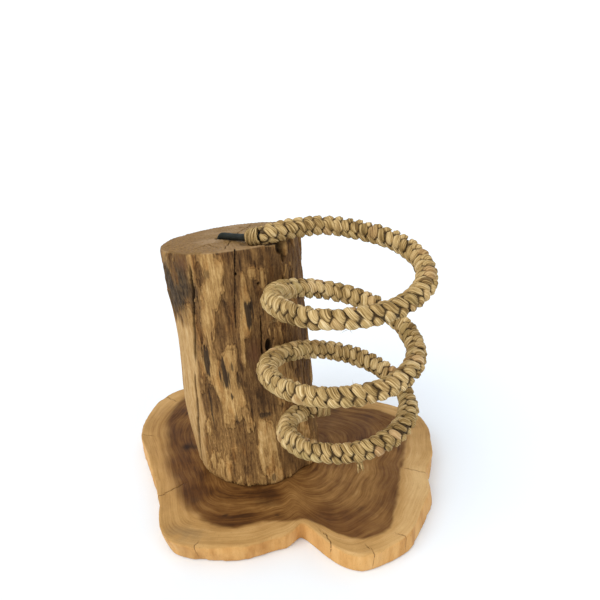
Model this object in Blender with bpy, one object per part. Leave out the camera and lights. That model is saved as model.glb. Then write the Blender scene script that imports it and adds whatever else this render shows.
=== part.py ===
"""Rustic holder of teak and roped iron.

A lobed cross-cut slab of teak carries a short leaning teak log. An iron rod is let into
the log's top and bent into a hanging coil, and a braided seagrass sheath covers the rod.
The coil's lowest turn tucks inwards and closes the coil from below, as a seat.
Metres, +Z up, the slab's underside on Z = 0, the front towards -Y.
"""

import math

import bmesh
import bpy
import numpy as np

MM = 0.001

# ---------------------------------------------------------------- driving dimensions
GAP = 0.3  # clearance between touching pieces, mm

# base slab: a round trunk section with root lobes and bays (angle, rise, width)
SLAB_THICKNESS = 18.0
SLAB_RADIUS = 132.0
SLAB_LOBES = (
    (8, 3, 7),
    (29, 20, 12),
    (88, -19, 31),
    (139, 30, 17),
    (165, 3, 9),
    (187, -4, 8),
    (207, -22, 19),
    (236, 6, 7),
    (268, 5, 6),
    (277, -32, 16),
    (291, -25, 5),
    (304, 13, 11),
    (325, 7, 8),
    (346, 4, 6),
    (355, -4, 5),
)
SLAB_POINTS = 120
SLAB_MIDDLE = (0.0, 3.8)
SLAB_EDGE = 1.4  # eased upper and lower edges
SLAB_UNDERCUT = ((238, 5.0, 22), (285, 3.0, 20), (345, -2.0, 12))  # slope of the side

# log post
LOG_FOOT = (-17.5, 11.4)
LOG_TOP = (-36.8, 20.2, 214.5)
LOG_FOOT_RADIUS = 52.6
LOG_TOP_RADIUS = 56.0
LOG_TOP_SLOPE = (0.123, -0.101)  # rise of the sawn top along X and Y
# swellings of the trunk: angle, rise, angle width, share of the height, share width
LOG_SWELLS = (
    (256, 3.4, 26, 0.0, 0.10),
    (318, -2.6, 18, 0.0, 0.16),
    (204, 5.0, 25, 0.28, 0.24),
    (200, 1.8, 24, 0.88, 0.10),
    (308, 3.0, 18, 1.0, 0.13),
    (74, 2.6, 24, 1.0, 0.15),
    (126, -2.2, 20, 1.0, 0.15),
)
LOG_SIDES = 40
LOG_LEVELS = 9
LOG_EASE = 1.8  # worn edge round the top and the foot

# iron rod and its coil; turn angles run clockwise from +X, so 90 is the front
ROD_RADIUS = 2.8
COIL_FOOT = (52.5, -65.3, 104.0)
COIL_LEAN = (0.075, 0.088)  # the coil's middle drifts as it climbs
COIL_RADIUS = 51.0
COIL_OVAL = (50, 2.5)  # the turns are a little oval: angle of the long axis, extra radius
COIL_LEAD = ((-94, 228.0), (-60, 225.5))  # angle and height where the rod leaves the log
COIL_OPEN = (-55, 6.5)  # before this angle the lead swings out, by as much
# each turn's height at its right side, then how far its front, left and back stand over
# an even fall to the next turn
COIL_TURNS = ((216, 2, 8, 4), (160, 2, 4, 2), (117, -6, -8, -4))
COIL_FLOOR = 95  # the height that the last turn falls towards
COIL_TUCK = (715, 28.0)  # past this angle the last turn closes in, to this radius
COIL_END = 985
# where the covered rod starts: x, y and the rise of its centre over the log's top
REST_POINTS = (
    (-14.1, -16.3, 4.7),
    (-8.6, -18.6, 5.2),
    (1.2, -16.8, 6.2),
    (11.5, -11.0, 6.7),
    (25.0, -2.0, 5.8),
    (41.0, 4.6, 3.9),
)
BARE_POINTS = ((-35.0, 6.5, 2.6), (-25.0, -4.2, 3.3))  # the rod's bare end, likewise
LEG_BOTTOM = (-44.5, 16.5, 172.0)  # the rod's hidden leg, down inside the log
LEG_BEND = 5.5
BARE_RISE = 2.2  # height of the bare end's centre over the log's top
STATION_STEP = 10.0
TUBE_SIDES = 10

# sheath and bindings
SHEATH_RADIUS = 7.6
SHEATH_BORE = 3.2
UPPER_BINDING_RADIUS = 6.8
UPPER_BINDING_LENGTH = 8.5
LOWER_BINDING_RADIUS = 7.8
LOWER_BINDING_LENGTH = 12.0
BINDING_GAP = 0.8  # between a binding and the sheath
TROUGH_RADIUS = 8.8
TROUGH_LENGTH = 72.0

# wood screws, driven up through the slab into the log
SCREW_CIRCLE = 27.0
SCREW_ANGLES = (95.0, 215.0, 335.0)
SCREW_LENGTH = 62.0
SCREW_SHANK = 2.5
SCREW_HEAD = 4.9
SCREW_HEAD_HEIGHT = 3.2
SCREW_SUNK = 0.8
SCREW_SIDES = 16


# ---------------------------------------------------------------- helpers
def clear_scene():
    for obj in list(bpy.data.objects):
        bpy.data.objects.remove(obj, do_unlink=True)


def material(name, colour, roughness, metallic=0.0):
    made = bpy.data.materials.new(name)
    made.use_nodes = True
    shader = made.node_tree.nodes["Principled BSDF"]
    shader.inputs["Base Color"].default_value = (*colour, 1.0)
    shader.inputs["Roughness"].default_value = roughness
    shader.inputs["Metallic"].default_value = metallic
    return made


def mesh_object(name, points, faces, made_of=None, smooth=35.0):
    """An object from points in mm and faces, with its normals turned out."""
    mesh = bpy.data.meshes.new(name)
    build = bmesh.new()
    verts = [build.verts.new(np.asarray(p, float) * MM) for p in points]
    for face in faces:
        build.faces.new([verts[i] for i in face])
    bmesh.ops.recalc_face_normals(build, faces=build.faces)
    build.to_mesh(mesh)
    build.free()
    mesh.shade_smooth()
    mesh.set_sharp_from_angle(angle=math.radians(smooth))
    obj = bpy.data.objects.new(name, mesh)
    bpy.context.scene.collection.objects.link(obj)
    if made_of is not None:
        mesh.materials.append(made_of)
    return obj


def stacked(rings):
    """Points and faces of a closed stack of equal rings with flat ends."""
    count = len(rings[0])
    points = [p for ring in rings for p in ring]
    faces = []
    for k in range(len(rings) - 1):
        for i in range(count):
            j = (i + 1) % count
            faces.append(
                (k * count + i, k * count + j, (k + 1) * count + j, (k + 1) * count + i)
            )
    faces.append(tuple(range(count))[::-1])
    faces.append(tuple((len(rings) - 1) * count + i for i in range(count)))
    return points, faces


def turned(profile, sides, at):
    """A solid of revolution about a vertical axis from (radius, height) pairs."""
    angles = [2 * math.pi * i / sides for i in range(sides)]
    rings = [
        [
            (at[0] + r * math.cos(a), at[1] + r * math.sin(a), at[2] + z)
            for a in angles
        ]
        for r, z in profile
    ]
    return stacked(rings)


def cut(obj, cutter):
    cutter.hide_render = True
    cutter.display_type = "WIRE"
    change = obj.modifiers.new("cut_" + cutter.name, "BOOLEAN")
    change.operation = "DIFFERENCE"
    change.solver = "EXACT"
    change.object = cutter


def hermite(x, knots, values):
    """Smooth interpolation through values at knots."""
    knots, values = np.asarray(knots, float), np.asarray(values, float)
    slope = np.gradient(values, knots)
    i = np.clip(np.searchsorted(knots, x) - 1, 0, len(knots) - 2)
    h = knots[i + 1] - knots[i]
    t = (x - knots[i]) / h
    return (
        (2 * t**3 - 3 * t**2 + 1) * values[i]
        + (t**3 - 2 * t**2 + t) * h * slope[i]
        + (-2 * t**3 + 3 * t**2) * values[i + 1]
        + (t**3 - t**2) * h * slope[i + 1]
    )


# ---------------------------------------------------------------- shapes
def bumps(angle, lobes):
    total = 0.0
    for centre, rise, width in lobes:
        away = (angle - centre + 180.0) % 360.0 - 180.0
        total += rise * math.exp(-0.5 * (away / width) ** 2)
    return total


def slab_rings():
    angles = [360.0 * i / SLAB_POINTS for i in range(SLAB_POINTS)]
    radii = [SLAB_RADIUS + bumps(a, SLAB_LOBES) for a in angles]
    outline = np.array(
        [
            (r * math.cos(math.radians(a)), r * math.sin(math.radians(a)))
            for a, r in zip(angles, radii)
        ]
    )
    middle = (outline.min(axis=0) + outline.max(axis=0)) / 2
    under = [bumps(a, SLAB_UNDERCUT) for a in angles]

    def ring(z, ease):
        share = 1.0 - z / SLAB_THICKNESS
        made = []
        for a, r, u in zip(angles, radii, under):
            rr = r - ease - u * share
            made.append(
                (
                    rr * math.cos(math.radians(a)) - middle[0] + SLAB_MIDDLE[0],
                    rr * math.sin(math.radians(a)) - middle[1] + SLAB_MIDDLE[1],
                    z,
                )
            )
        return made

    return [
        ring(0.0, SLAB_EDGE),
        ring(SLAB_EDGE, 0.0),
        ring(SLAB_THICKNESS - SLAB_EDGE, 0.0),
        ring(SLAB_THICKNESS, SLAB_EDGE),
    ]


def log_top_height(x, y):
    return (
        LOG_TOP[2]
        + LOG_TOP_SLOPE[0] * (x - LOG_TOP[0])
        + LOG_TOP_SLOPE[1] * (y - LOG_TOP[1])
    )


def log_rings():
    foot_z = SLAB_THICKNESS + GAP
    shares = [i / LOG_LEVELS for i in range(LOG_LEVELS + 1)]
    shares = [0.0, 0.012] + shares[1:-1] + [0.99, 1.0]
    rings = []
    for t in shares:
        cx = LOG_FOOT[0] + (LOG_TOP[0] - LOG_FOOT[0]) * t
        cy = LOG_FOOT[1] + (LOG_TOP[1] - LOG_FOOT[1]) * t
        ease = LOG_EASE if t in (0.0, 1.0) else 0.0
        base = LOG_FOOT_RADIUS + (LOG_TOP_RADIUS - LOG_FOOT_RADIUS) * t**3 - ease
        ring = []
        for i in range(LOG_SIDES):
            a = 2 * math.pi * i / LOG_SIDES
            r = base + 0.5 * math.cos(2 * a + 0.6) + 0.4 * math.cos(5 * a + 2.0 * t)
            for centre, rise, wide, share, tall in LOG_SWELLS:
                swell = bumps(math.degrees(a), ((centre, rise, wide),))
                r += swell * math.exp(-(((t - share) / tall) ** 2))
            x, y = cx + r * math.cos(a), cy + r * math.sin(a)
            flat = foot_z + (LOG_TOP[2] - foot_z) * t
            tilted = log_top_height(x, y) - LOG_TOP[2]
            ring.append((x, y, flat + tilted * t))
        rings.append(ring)
    return rings


def coil_heights():
    """Angles and heights of the coil's centre line, a quarter turn apart."""
    knots = list(COIL_LEAD)
    lows = [row[0] for row in COIL_TURNS[1:]] + [COIL_FLOOR]
    for turn, (row, low) in enumerate(zip(COIL_TURNS, lows)):
        for quarter, rise in enumerate((0,) + row[1:]):
            even = row[0] + (low - row[0]) * quarter / 4
            knots.append((360 * turn + 90 * quarter, even + rise))
    return np.array(knots, float)


def coil_radius(angle):
    r = COIL_RADIUS
    r += COIL_OVAL[1] * math.cos(math.radians(angle - COIL_OVAL[0])) ** 2
    lead = max(0.0, (COIL_OPEN[0] - angle) / (COIL_OPEN[0] - COIL_LEAD[0][0]))
    r += COIL_OPEN[1] * lead**2
    t = min(max((angle - COIL_TUCK[0]) / (COIL_END - COIL_TUCK[0]), 0.0), 1.0)
    return r + (COIL_TUCK[1] - r) * t * t * (3 - 2 * t)


def coil_point(angle):
    table = coil_heights()
    r = coil_radius(angle)
    z = float(hermite(angle, table[:, 0], table[:, 1]))
    a = math.radians(angle)
    return np.array(
        [
            COIL_FOOT[0] + COIL_LEAN[0] * (z - COIL_FOOT[2]) + r * math.cos(a),
            COIL_FOOT[1] + COIL_LEAN[1] * (z - COIL_FOOT[2]) - r * math.sin(a),
            z,
        ]
    )


def rod_route():
    """The rod's centre line as closely spaced points, their lengths along it, and the
    length where the covered part starts."""
    leg = np.array(LEG_BOTTOM, float)
    laid = [
        np.array([x, y, log_top_height(x, y) + h]) for x, y, h in BARE_POINTS + REST_POINTS
    ]
    top = log_top_height(leg[0], leg[1]) + BARE_RISE
    along = laid[0] - np.array([leg[0], leg[1], top])
    along /= np.linalg.norm(along)
    up = np.array([0.0, 0.0, 1.0])
    bend = [
        np.array([leg[0], leg[1], top - LEG_BEND])
        + LEG_BEND * (math.sin(a) * up + (1 - math.cos(a)) * along)
        for a in np.radians(np.arange(0, 91, 15))
    ]
    knots = [leg + (bend[0] - leg) * t for t in (0.0, 0.25, 0.5, 0.75)] + bend
    start = len(knots) + len(BARE_POINTS)
    knots += laid
    angles = np.arange(COIL_LEAD[0][0], COIL_END + 0.1, 4.0)
    knots += [coil_point(a) for a in angles]
    knots = np.array(knots)
    chords = np.concatenate(
        [[0.0], np.cumsum(np.linalg.norm(np.diff(knots, axis=0), axis=1))]
    )
    fine = np.linspace(0.0, chords[-1], 1200)
    curve = at_lengths(knots, chords, fine)
    lengths = np.concatenate(
        [[0.0], np.cumsum(np.linalg.norm(np.diff(curve, axis=0), axis=1))]
    )
    return curve, lengths, float(np.interp(chords[start], fine, lengths))


def at_lengths(knots, lengths, wanted):
    return np.column_stack([hermite(wanted, lengths, knots[:, k]) for k in range(3)])


def frames_along(knots, lengths, wanted):
    """Points at the wanted lengths, with a side and an up carried along without twist."""
    points = at_lengths(knots, lengths, wanted)
    ahead = at_lengths(knots, lengths, np.minimum(wanted + 0.5, lengths[-1]))
    behind = at_lengths(knots, lengths, np.maximum(wanted - 0.5, 0.0))
    tangents = ahead - behind
    tangents /= np.linalg.norm(tangents, axis=1)[:, None]
    side = np.cross(tangents[0], (0.3, 1.0, 0.2))
    side /= np.linalg.norm(side)
    sides = []
    for t in tangents:
        side = side - t * np.dot(side, t)
        side = side / np.linalg.norm(side)
        sides.append(side)
    sides = np.array(sides)
    return points, sides, np.cross(tangents, sides)


def tube_rings(points, sides, ups, radius):
    angles = 2 * math.pi * np.arange(TUBE_SIDES) / TUBE_SIDES
    return [
        [p + radius * (math.cos(a) * s + math.sin(a) * u) for a in angles]
        for p, s, u in zip(points, sides, ups)
    ]


def pipe(points, sides, ups, outer, inner):
    """Points and faces of a tube with a bore and flat ring ends."""
    out, bore = (
        tube_rings(points, sides, ups, outer),
        tube_rings(points, sides, ups, inner),
    )
    n, count = TUBE_SIDES, len(points)
    verts = [p for ring in out for p in ring] + [p for ring in bore for p in ring]
    half = n * count
    faces = []
    for k in range(count - 1):
        for i in range(n):
            j = (i + 1) % n
            a, b, c, d = k * n + i, k * n + j, (k + 1) * n + j, (k + 1) * n + i
            faces.append((a, b, c, d))
            faces.append((half + a, half + d, half + c, half + b))
    for k in (0, count - 1):
        for i in range(n):
            j = (i + 1) % n
            faces.append((k * n + i, k * n + j, half + k * n + j, half + k * n + i))
    return verts, faces


# ---------------------------------------------------------------- build
def build():
    clear_scene()
    teak_slab = material("teak_slab", (0.46, 0.27, 0.11), 0.55)
    teak_log = material("teak_log", (0.28, 0.16, 0.07), 0.72)
    iron = material("black_iron", (0.02, 0.025, 0.02), 0.5, 0.8)
    seagrass = material("seagrass_braid", (0.47, 0.35, 0.18), 0.8)
    twine = material("seagrass_twine", (0.42, 0.32, 0.17), 0.85)
    zinc = material("zinc_screw", (0.6, 0.58, 0.5), 0.35, 1.0)

    slab = mesh_object("base_slab", *stacked(slab_rings()), teak_slab, 50)
    log = mesh_object("log_post", *stacked(log_rings()), teak_log, 50)

    # the rod, its sheath and its bindings share one set of stations
    knots, lengths, start = rod_route()
    end = lengths[-1]
    marks = sorted(
        {
            0.0,
            start,
            start + UPPER_BINDING_LENGTH,
            start + UPPER_BINDING_LENGTH + BINDING_GAP,
            end - LOWER_BINDING_LENGTH - BINDING_GAP,
            end - LOWER_BINDING_LENGTH,
            end,
        }
    )
    wanted = []
    for a, b in zip(marks[:-1], marks[1:]):
        step = 4.0 if b <= start + UPPER_BINDING_LENGTH else STATION_STEP
        pieces = max(1, int(round((b - a) / step)))
        wanted += [a + (b - a) * i / pieces for i in range(pieces)]
    wanted = np.array(wanted + [end])
    points, sides, ups = frames_along(knots, lengths, wanted)

    def span(a, b):
        keep = (wanted >= a - 1e-6) & (wanted <= b + 1e-6)
        return points[keep], sides[keep], ups[keep]

    mesh_object(
        "core_rod", *stacked(tube_rings(points, sides, ups, ROD_RADIUS)), iron, 60
    )
    upper = span(start, start + UPPER_BINDING_LENGTH)
    mesh_object("upper_binding", *pipe(*upper, UPPER_BINDING_RADIUS, SHEATH_BORE), twine, 60)
    body = span(
        start + UPPER_BINDING_LENGTH + BINDING_GAP, end - LOWER_BINDING_LENGTH - BINDING_GAP
    )
    mesh_object("rope_sheath", *pipe(*body, SHEATH_RADIUS, SHEATH_BORE), seagrass, 60)
    lower = span(end - LOWER_BINDING_LENGTH, end)
    mesh_object("lower_binding", *pipe(*lower, LOWER_BINDING_RADIUS, SHEATH_BORE), twine, 60)

    # the hole and groove for the bare end, then the trough for the covered rod
    bare = span(0.0, start + UPPER_BINDING_LENGTH)
    bare[0][0] -= (0.0, 0.0, GAP)
    cut(
        log,
        mesh_object(
            "rod_hole",
            *stacked(tube_rings(*bare, ROD_RADIUS + 0.4)),
        ),
    )
    laid = frames_along(
        knots, lengths, start - 1.2 + TROUGH_LENGTH * np.linspace(0, 1, 15)
    )
    cut(log, mesh_object("rope_trough", *stacked(tube_rings(*laid, TROUGH_RADIUS))))

    # screws, each in its own hole through the slab and into the log
    for number, angle in enumerate(SCREW_ANGLES, 1):
        x = LOG_FOOT[0] + SCREW_CIRCLE * math.cos(math.radians(angle))
        y = LOG_FOOT[1] + SCREW_CIRCLE * math.sin(math.radians(angle))
        at = (x, y, SCREW_SUNK)
        tip = SCREW_LENGTH
        profile = [
            (SCREW_HEAD, 0.0),
            (SCREW_HEAD, 0.6),
            (SCREW_SHANK, SCREW_HEAD_HEIGHT),
            (SCREW_SHANK, tip - 7.0),
            (0.5, tip),
        ]
        mesh_object(
            f"base_screw_{number}", *turned(profile, SCREW_SIDES, at), zinc, 40
        )
        wide = [
            (SCREW_HEAD + 0.35, -5.0),
            (SCREW_HEAD + 0.35, 0.9),
            (SCREW_SHANK + 0.35, SCREW_HEAD_HEIGHT + 0.4),
            (SCREW_SHANK + 0.35, tip + 0.5),
        ]
        hole = mesh_object(f"screw_hole_{number}", *turned(wide, SCREW_SIDES, at))
        cut(slab, hole)
        cut(log, hole)


build()
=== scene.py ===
"""Looks of the rustic holder of teak and roped iron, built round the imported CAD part.

Lengths inside the functions are millimetres in the part's frame; objects are made in metres.
"""

import math

import bmesh
import bpy
import numpy as np
from mathutils import Matrix, Vector
from mathutils.geometry import delaunay_2d_cdt


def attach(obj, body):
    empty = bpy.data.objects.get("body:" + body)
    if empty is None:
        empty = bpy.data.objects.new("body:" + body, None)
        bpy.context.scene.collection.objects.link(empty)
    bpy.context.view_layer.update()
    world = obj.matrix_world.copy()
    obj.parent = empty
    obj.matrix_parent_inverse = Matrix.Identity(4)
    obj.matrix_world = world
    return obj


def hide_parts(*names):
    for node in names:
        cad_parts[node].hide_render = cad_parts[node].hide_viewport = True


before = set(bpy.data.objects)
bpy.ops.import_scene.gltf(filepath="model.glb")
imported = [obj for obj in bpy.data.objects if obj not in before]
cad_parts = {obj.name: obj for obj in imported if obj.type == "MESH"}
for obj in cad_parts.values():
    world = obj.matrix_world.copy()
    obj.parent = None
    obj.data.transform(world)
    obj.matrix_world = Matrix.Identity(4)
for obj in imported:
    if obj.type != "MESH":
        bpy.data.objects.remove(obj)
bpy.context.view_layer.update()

MM = 0.001

# ------------------------------------------------------------------ the part's dimensions
SLAB_THICKNESS = 18.0
SLAB_RADIUS = 132.0
SLAB_LOBES = (
    (8, 3, 7),
    (29, 20, 12),
    (88, -19, 31),
    (139, 30, 17),
    (165, 3, 9),
    (187, -4, 8),
    (207, -22, 19),
    (236, 6, 7),
    (268, 5, 6),
    (277, -32, 16),
    (291, -25, 5),
    (304, 13, 11),
    (325, 7, 8),
    (346, 4, 6),
    (355, -4, 5),
)
SLAB_MIDDLE = (0.0, 3.8)
SLAB_UNDERCUT = ((238, 5.0, 22), (285, 3.0, 20), (345, -2.0, 12))
PITH = (-6.0, 16.0)

LOG_FOOT = (-17.5, 11.4)
LOG_TOP = (-36.8, 20.2, 214.5)
LOG_FOOT_Z = 18.3
LOG_FOOT_RADIUS = 52.6
LOG_TOP_RADIUS = 56.0
LOG_TOP_SLOPE = (0.123, -0.101)
LOG_SWELLS = (
    (256, 3.4, 26, 0.0, 0.10),
    (318, -2.6, 18, 0.0, 0.16),
    (204, 5.0, 25, 0.28, 0.24),
    (200, 1.8, 24, 0.88, 0.10),
    (308, 3.0, 18, 1.0, 0.13),
    (74, 2.6, 24, 1.0, 0.15),
    (126, -2.2, 20, 1.0, 0.15),
)

ROD_RADIUS = 2.8
COIL_FOOT = (52.5, -65.3, 104.0)
COIL_LEAN = (0.075, 0.088)
COIL_RADIUS = 51.0
COIL_OVAL = (50, 2.5)
COIL_LEAD = ((-94, 228.0), (-60, 225.5))
COIL_OPEN = (-55, 6.5)
COIL_TURNS = ((216, 2, 8, 4), (160, 2, 4, 2), (117, -6, -8, -4))
COIL_FLOOR = 95
COIL_TUCK = (715, 28.0)
COIL_END = 985
REST_POINTS = (
    (-14.1, -16.3, 4.7),
    (-8.6, -18.6, 5.2),
    (1.2, -16.8, 6.2),
    (11.5, -11.0, 6.7),
    (25.0, -2.0, 5.8),
    (41.0, 4.6, 3.9),
)
BARE_POINTS = ((-35.0, 6.5, 2.6), (-25.0, -4.2, 3.3))
LEG_BOTTOM = (-44.5, 16.5, 172.0)
LEG_BEND = 5.5
BARE_RISE = 2.2
UPPER_BINDING_LENGTH = 8.5
LOWER_BINDING_LENGTH = 12.0
BINDING_GAP = 0.8

SCREW_CIRCLE = 27.0
SCREW_ANGLES = (95.0, 215.0, 335.0)
SCREW_SUNK = 0.8


# ------------------------------------------------------------------ noise
def _hash(ix, iy, seed):
    n = (ix * 374761393 + iy * 668265263 + seed * 974634777) & 0xFFFFFFFF
    n = ((n ^ (n >> 13)) * 1274126177) & 0xFFFFFFFF
    return ((n ^ (n >> 16)) & 0xFFFFFFFF) / 4294967295.0


def noise(x, y, seed, wrap=0):
    """Value noise from 0 to 1; wrap repeats it along x."""
    x, y = np.broadcast_arrays(np.asarray(x, float), np.asarray(y, float))
    ix, iy = np.floor(x).astype(np.int64), np.floor(y).astype(np.int64)
    fx, fy = x - ix, y - iy
    fx = fx * fx * fx * (fx * (fx * 6 - 15) + 10)
    fy = fy * fy * fy * (fy * (fy * 6 - 15) + 10)
    jx = ix + 1
    if wrap:
        ix, jx = ix % wrap, jx % wrap
    low = _hash(ix, iy, seed) * (1 - fx) + _hash(jx, iy, seed) * fx
    high = _hash(ix, iy + 1, seed) * (1 - fx) + _hash(jx, iy + 1, seed) * fx
    return low * (1 - fy) + high * fy


def fbm(x, y, seed, octaves=4, wrap=0):
    total, share, norm = 0.0, 0.5, 0.0
    for k in range(octaves):
        total = total + share * noise(x * 2**k, y * 2**k, seed + 17 * k, wrap * 2**k)
        norm += share
        share *= 0.5
    return total / norm


def step(low, high, x):
    t = np.clip((x - low) / (high - low), 0.0, 1.0)
    return t * t * (3 - 2 * t)


def turn(a, b):
    """Signed difference of two angles in degrees."""
    return (np.asarray(a, float) - b + 180.0) % 360.0 - 180.0


def bumps(angle, lobes):
    total = 0.0
    for centre, rise, width in lobes:
        total = total + rise * np.exp(-0.5 * (turn(angle, centre) / width) ** 2)
    return total


# ------------------------------------------------------------------ meshes
def make_object(name, points, faces, made_of, attributes=None, slot=None, stands_for=()):
    """A smooth mesh piece from points in mm and arrays of equal-sided faces."""
    points = np.asarray(points, float)
    faces = [np.asarray(f, np.int32) for f in faces if len(f)]
    mesh = bpy.data.meshes.new(name)
    mesh.vertices.add(len(points))
    mesh.vertices.foreach_set("co", (points * MM).astype(np.float32).ravel())
    loops = np.concatenate([f.ravel() for f in faces])
    sizes = np.concatenate([np.full(len(f), f.shape[1], np.int32) for f in faces])
    mesh.loops.add(len(loops))
    mesh.loops.foreach_set("vertex_index", loops)
    mesh.polygons.add(len(sizes))
    starts = np.concatenate([[0], np.cumsum(sizes)[:-1]]).astype(np.int32)
    mesh.polygons.foreach_set("loop_start", starts)
    mesh.polygons.foreach_set("loop_total", sizes)
    mesh.update(calc_edges=True)
    for key, values in (attributes or {}).items():
        values = np.asarray(values, np.float32)
        kind = "FLOAT" if values.ndim == 1 else "FLOAT_VECTOR"
        layer = mesh.attributes.new(key, kind, "POINT")
        layer.data.foreach_set("value" if kind == "FLOAT" else "vector", values.ravel())
    build = bmesh.new()
    build.from_mesh(mesh)
    bmesh.ops.recalc_face_normals(build, faces=build.faces)
    build.to_mesh(mesh)
    build.free()
    mesh.shade_smooth()
    mesh.materials.append(made_of)
    obj = bpy.data.objects.new(name, mesh)
    bpy.context.scene.collection.objects.link(obj)
    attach(obj, "root")
    if stands_for:
        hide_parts(*stands_for)
    return obj


def grid_faces(rows, columns, first=0, closed=True):
    """Quads between successive rows of points; closed joins the last column to the first."""
    i = np.arange(rows - 1)[:, None]
    j = np.arange(columns if closed else columns - 1)[None, :]
    k = (j + 1) % columns
    quads = np.stack(
        [
            i * columns + j,
            i * columns + k,
            (i + 1) * columns + k,
            (i + 1) * columns + j,
        ],
        axis=-1,
    )
    return quads.reshape(-1, 4) + first


def fan(ring, middle):
    ring = np.asarray(ring)
    return np.stack([ring, np.roll(ring, -1), np.full(len(ring), middle)], axis=1)


# ------------------------------------------------------------------ material helpers
def linear(r, g, b):
    """Shader colour from display values of 0 to 255."""
    made = []
    for c in (r, g, b):
        c = c / 255.0
        made.append(c / 12.92 if c <= 0.04045 else ((c + 0.055) / 1.055) ** 2.4)
    return (*made, 1.0)


class Shade:
    """Short names for the nodes of one material."""

    def __init__(self, name):
        self.made = bpy.data.materials.new(name)
        self.made.use_nodes = True
        self.tree = self.made.node_tree
        self.shader = self.tree.nodes["Principled BSDF"]

    def node(self, kind, **sockets):
        made = self.tree.nodes.new(kind)
        self.feed(made, sockets)
        return made

    def feed(self, made, sockets):
        for key, value in sockets.items():
            into = made.inputs[int(key[1:]) if key[0] == "_" else key.replace("_", " ")]
            if isinstance(value, bpy.types.NodeSocket):
                self.tree.links.new(value, into)
            else:
                into.default_value = value

    def set(self, **sockets):
        self.feed(self.shader, sockets)

    def attribute(self, name):
        made = self.tree.nodes.new("ShaderNodeAttribute")
        made.attribute_name = name
        return made.outputs["Fac"]

    def attribute_vector(self, name):
        made = self.tree.nodes.new("ShaderNodeAttribute")
        made.attribute_name = name
        return made.outputs["Vector"]

    def place(self):
        return self.node("ShaderNodeTexCoord").outputs["Object"]

    def scaled(self, vector, scale, move=(0, 0, 0)):
        made = self.node("ShaderNodeMapping", Vector=vector)
        made.inputs["Scale"].default_value = scale
        made.inputs["Location"].default_value = move
        return made.outputs["Vector"]

    def noise(self, vector, scale, detail=3.0, rough=0.55, distortion=0.0):
        made = self.node(
            "ShaderNodeTexNoise",
            Vector=vector,
            Scale=scale,
            Detail=detail,
            Roughness=rough,
            Distortion=distortion,
        )
        return made.outputs["Fac"]

    def math(self, kind, a, b=0.0, c=0.0, clamp=False):
        made = self.tree.nodes.new("ShaderNodeMath")
        made.operation = kind
        made.use_clamp = clamp
        self.feed(made, {"_0": a, "_1": b, "_2": c})
        return made.outputs[0]

    def between(self, value, low, high, to_low=0.0, to_high=1.0):
        made = self.node("ShaderNodeMapRange", Value=value)
        made.interpolation_type = "SMOOTHSTEP"
        for key, number in (
            ("From Min", low),
            ("From Max", high),
            ("To Min", to_low),
            ("To Max", to_high),
        ):
            made.inputs[key].default_value = number
        return made.outputs["Result"]

    def ramp(self, value, *stops):
        made = self.node("ShaderNodeValToRGB", Fac=value)
        band = made.color_ramp
        while len(band.elements) < len(stops):
            band.elements.new(0.5)
        for element, (at, colour) in zip(band.elements, stops):
            element.position = at
            element.color = colour
        return made.outputs["Color"]

    def mix(self, share, a, b, kind="MIX"):
        made = self.tree.nodes.new("ShaderNodeMix")
        made.data_type = "RGBA"
        made.blend_type = kind
        self.feed(made, {"_0": share, "_6": a, "_7": b})
        return made.outputs[2]

    def bump(self, height, strength, distance, normal=None):
        made = self.node(
            "ShaderNodeBump", Height=height, Strength=strength, Distance=distance
        )
        if normal is not None:
            self.tree.links.new(normal, made.inputs["Normal"])
        return made.outputs["Normal"]


# ------------------------------------------------------------------ the rod's route
def hermite(x, knots, values):
    knots, values = np.asarray(knots, float), np.asarray(values, float)
    slope = np.gradient(values, knots)
    i = np.clip(np.searchsorted(knots, x) - 1, 0, len(knots) - 2)
    h = knots[i + 1] - knots[i]
    t = (x - knots[i]) / h
    return (
        (2 * t**3 - 3 * t**2 + 1) * values[i]
        + (t**3 - 2 * t**2 + t) * h * slope[i]
        + (-2 * t**3 + 3 * t**2) * values[i + 1]
        + (t**3 - t**2) * h * slope[i + 1]
    )


def log_top_height(x, y):
    return (
        LOG_TOP[2]
        + LOG_TOP_SLOPE[0] * (x - LOG_TOP[0])
        + LOG_TOP_SLOPE[1] * (y - LOG_TOP[1])
    )


def coil_heights():
    """Angles and heights of the coil's centre line, a quarter turn apart."""
    knots = list(COIL_LEAD)
    lows = [row[0] for row in COIL_TURNS[1:]] + [COIL_FLOOR]
    for turn, (row, low) in enumerate(zip(COIL_TURNS, lows)):
        for quarter, rise in enumerate((0,) + row[1:]):
            even = row[0] + (low - row[0]) * quarter / 4
            knots.append((360 * turn + 90 * quarter, even + rise))
    return np.array(knots, float)


def coil_radius(angle):
    r = COIL_RADIUS
    r += COIL_OVAL[1] * math.cos(math.radians(angle - COIL_OVAL[0])) ** 2
    lead = max(0.0, (COIL_OPEN[0] - angle) / (COIL_OPEN[0] - COIL_LEAD[0][0]))
    r += COIL_OPEN[1] * lead**2
    t = min(max((angle - COIL_TUCK[0]) / (COIL_END - COIL_TUCK[0]), 0.0), 1.0)
    return r + (COIL_TUCK[1] - r) * t * t * (3 - 2 * t)


def coil_point(angle):
    table = coil_heights()
    r = coil_radius(angle)
    z = float(hermite(angle, table[:, 0], table[:, 1]))
    a = math.radians(angle)
    return np.array(
        [
            COIL_FOOT[0] + COIL_LEAN[0] * (z - COIL_FOOT[2]) + r * math.cos(a),
            COIL_FOOT[1] + COIL_LEAN[1] * (z - COIL_FOOT[2]) - r * math.sin(a),
            z,
        ]
    )


def at_lengths(knots, lengths, wanted):
    return np.column_stack([hermite(wanted, lengths, knots[:, k]) for k in range(3)])


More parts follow.
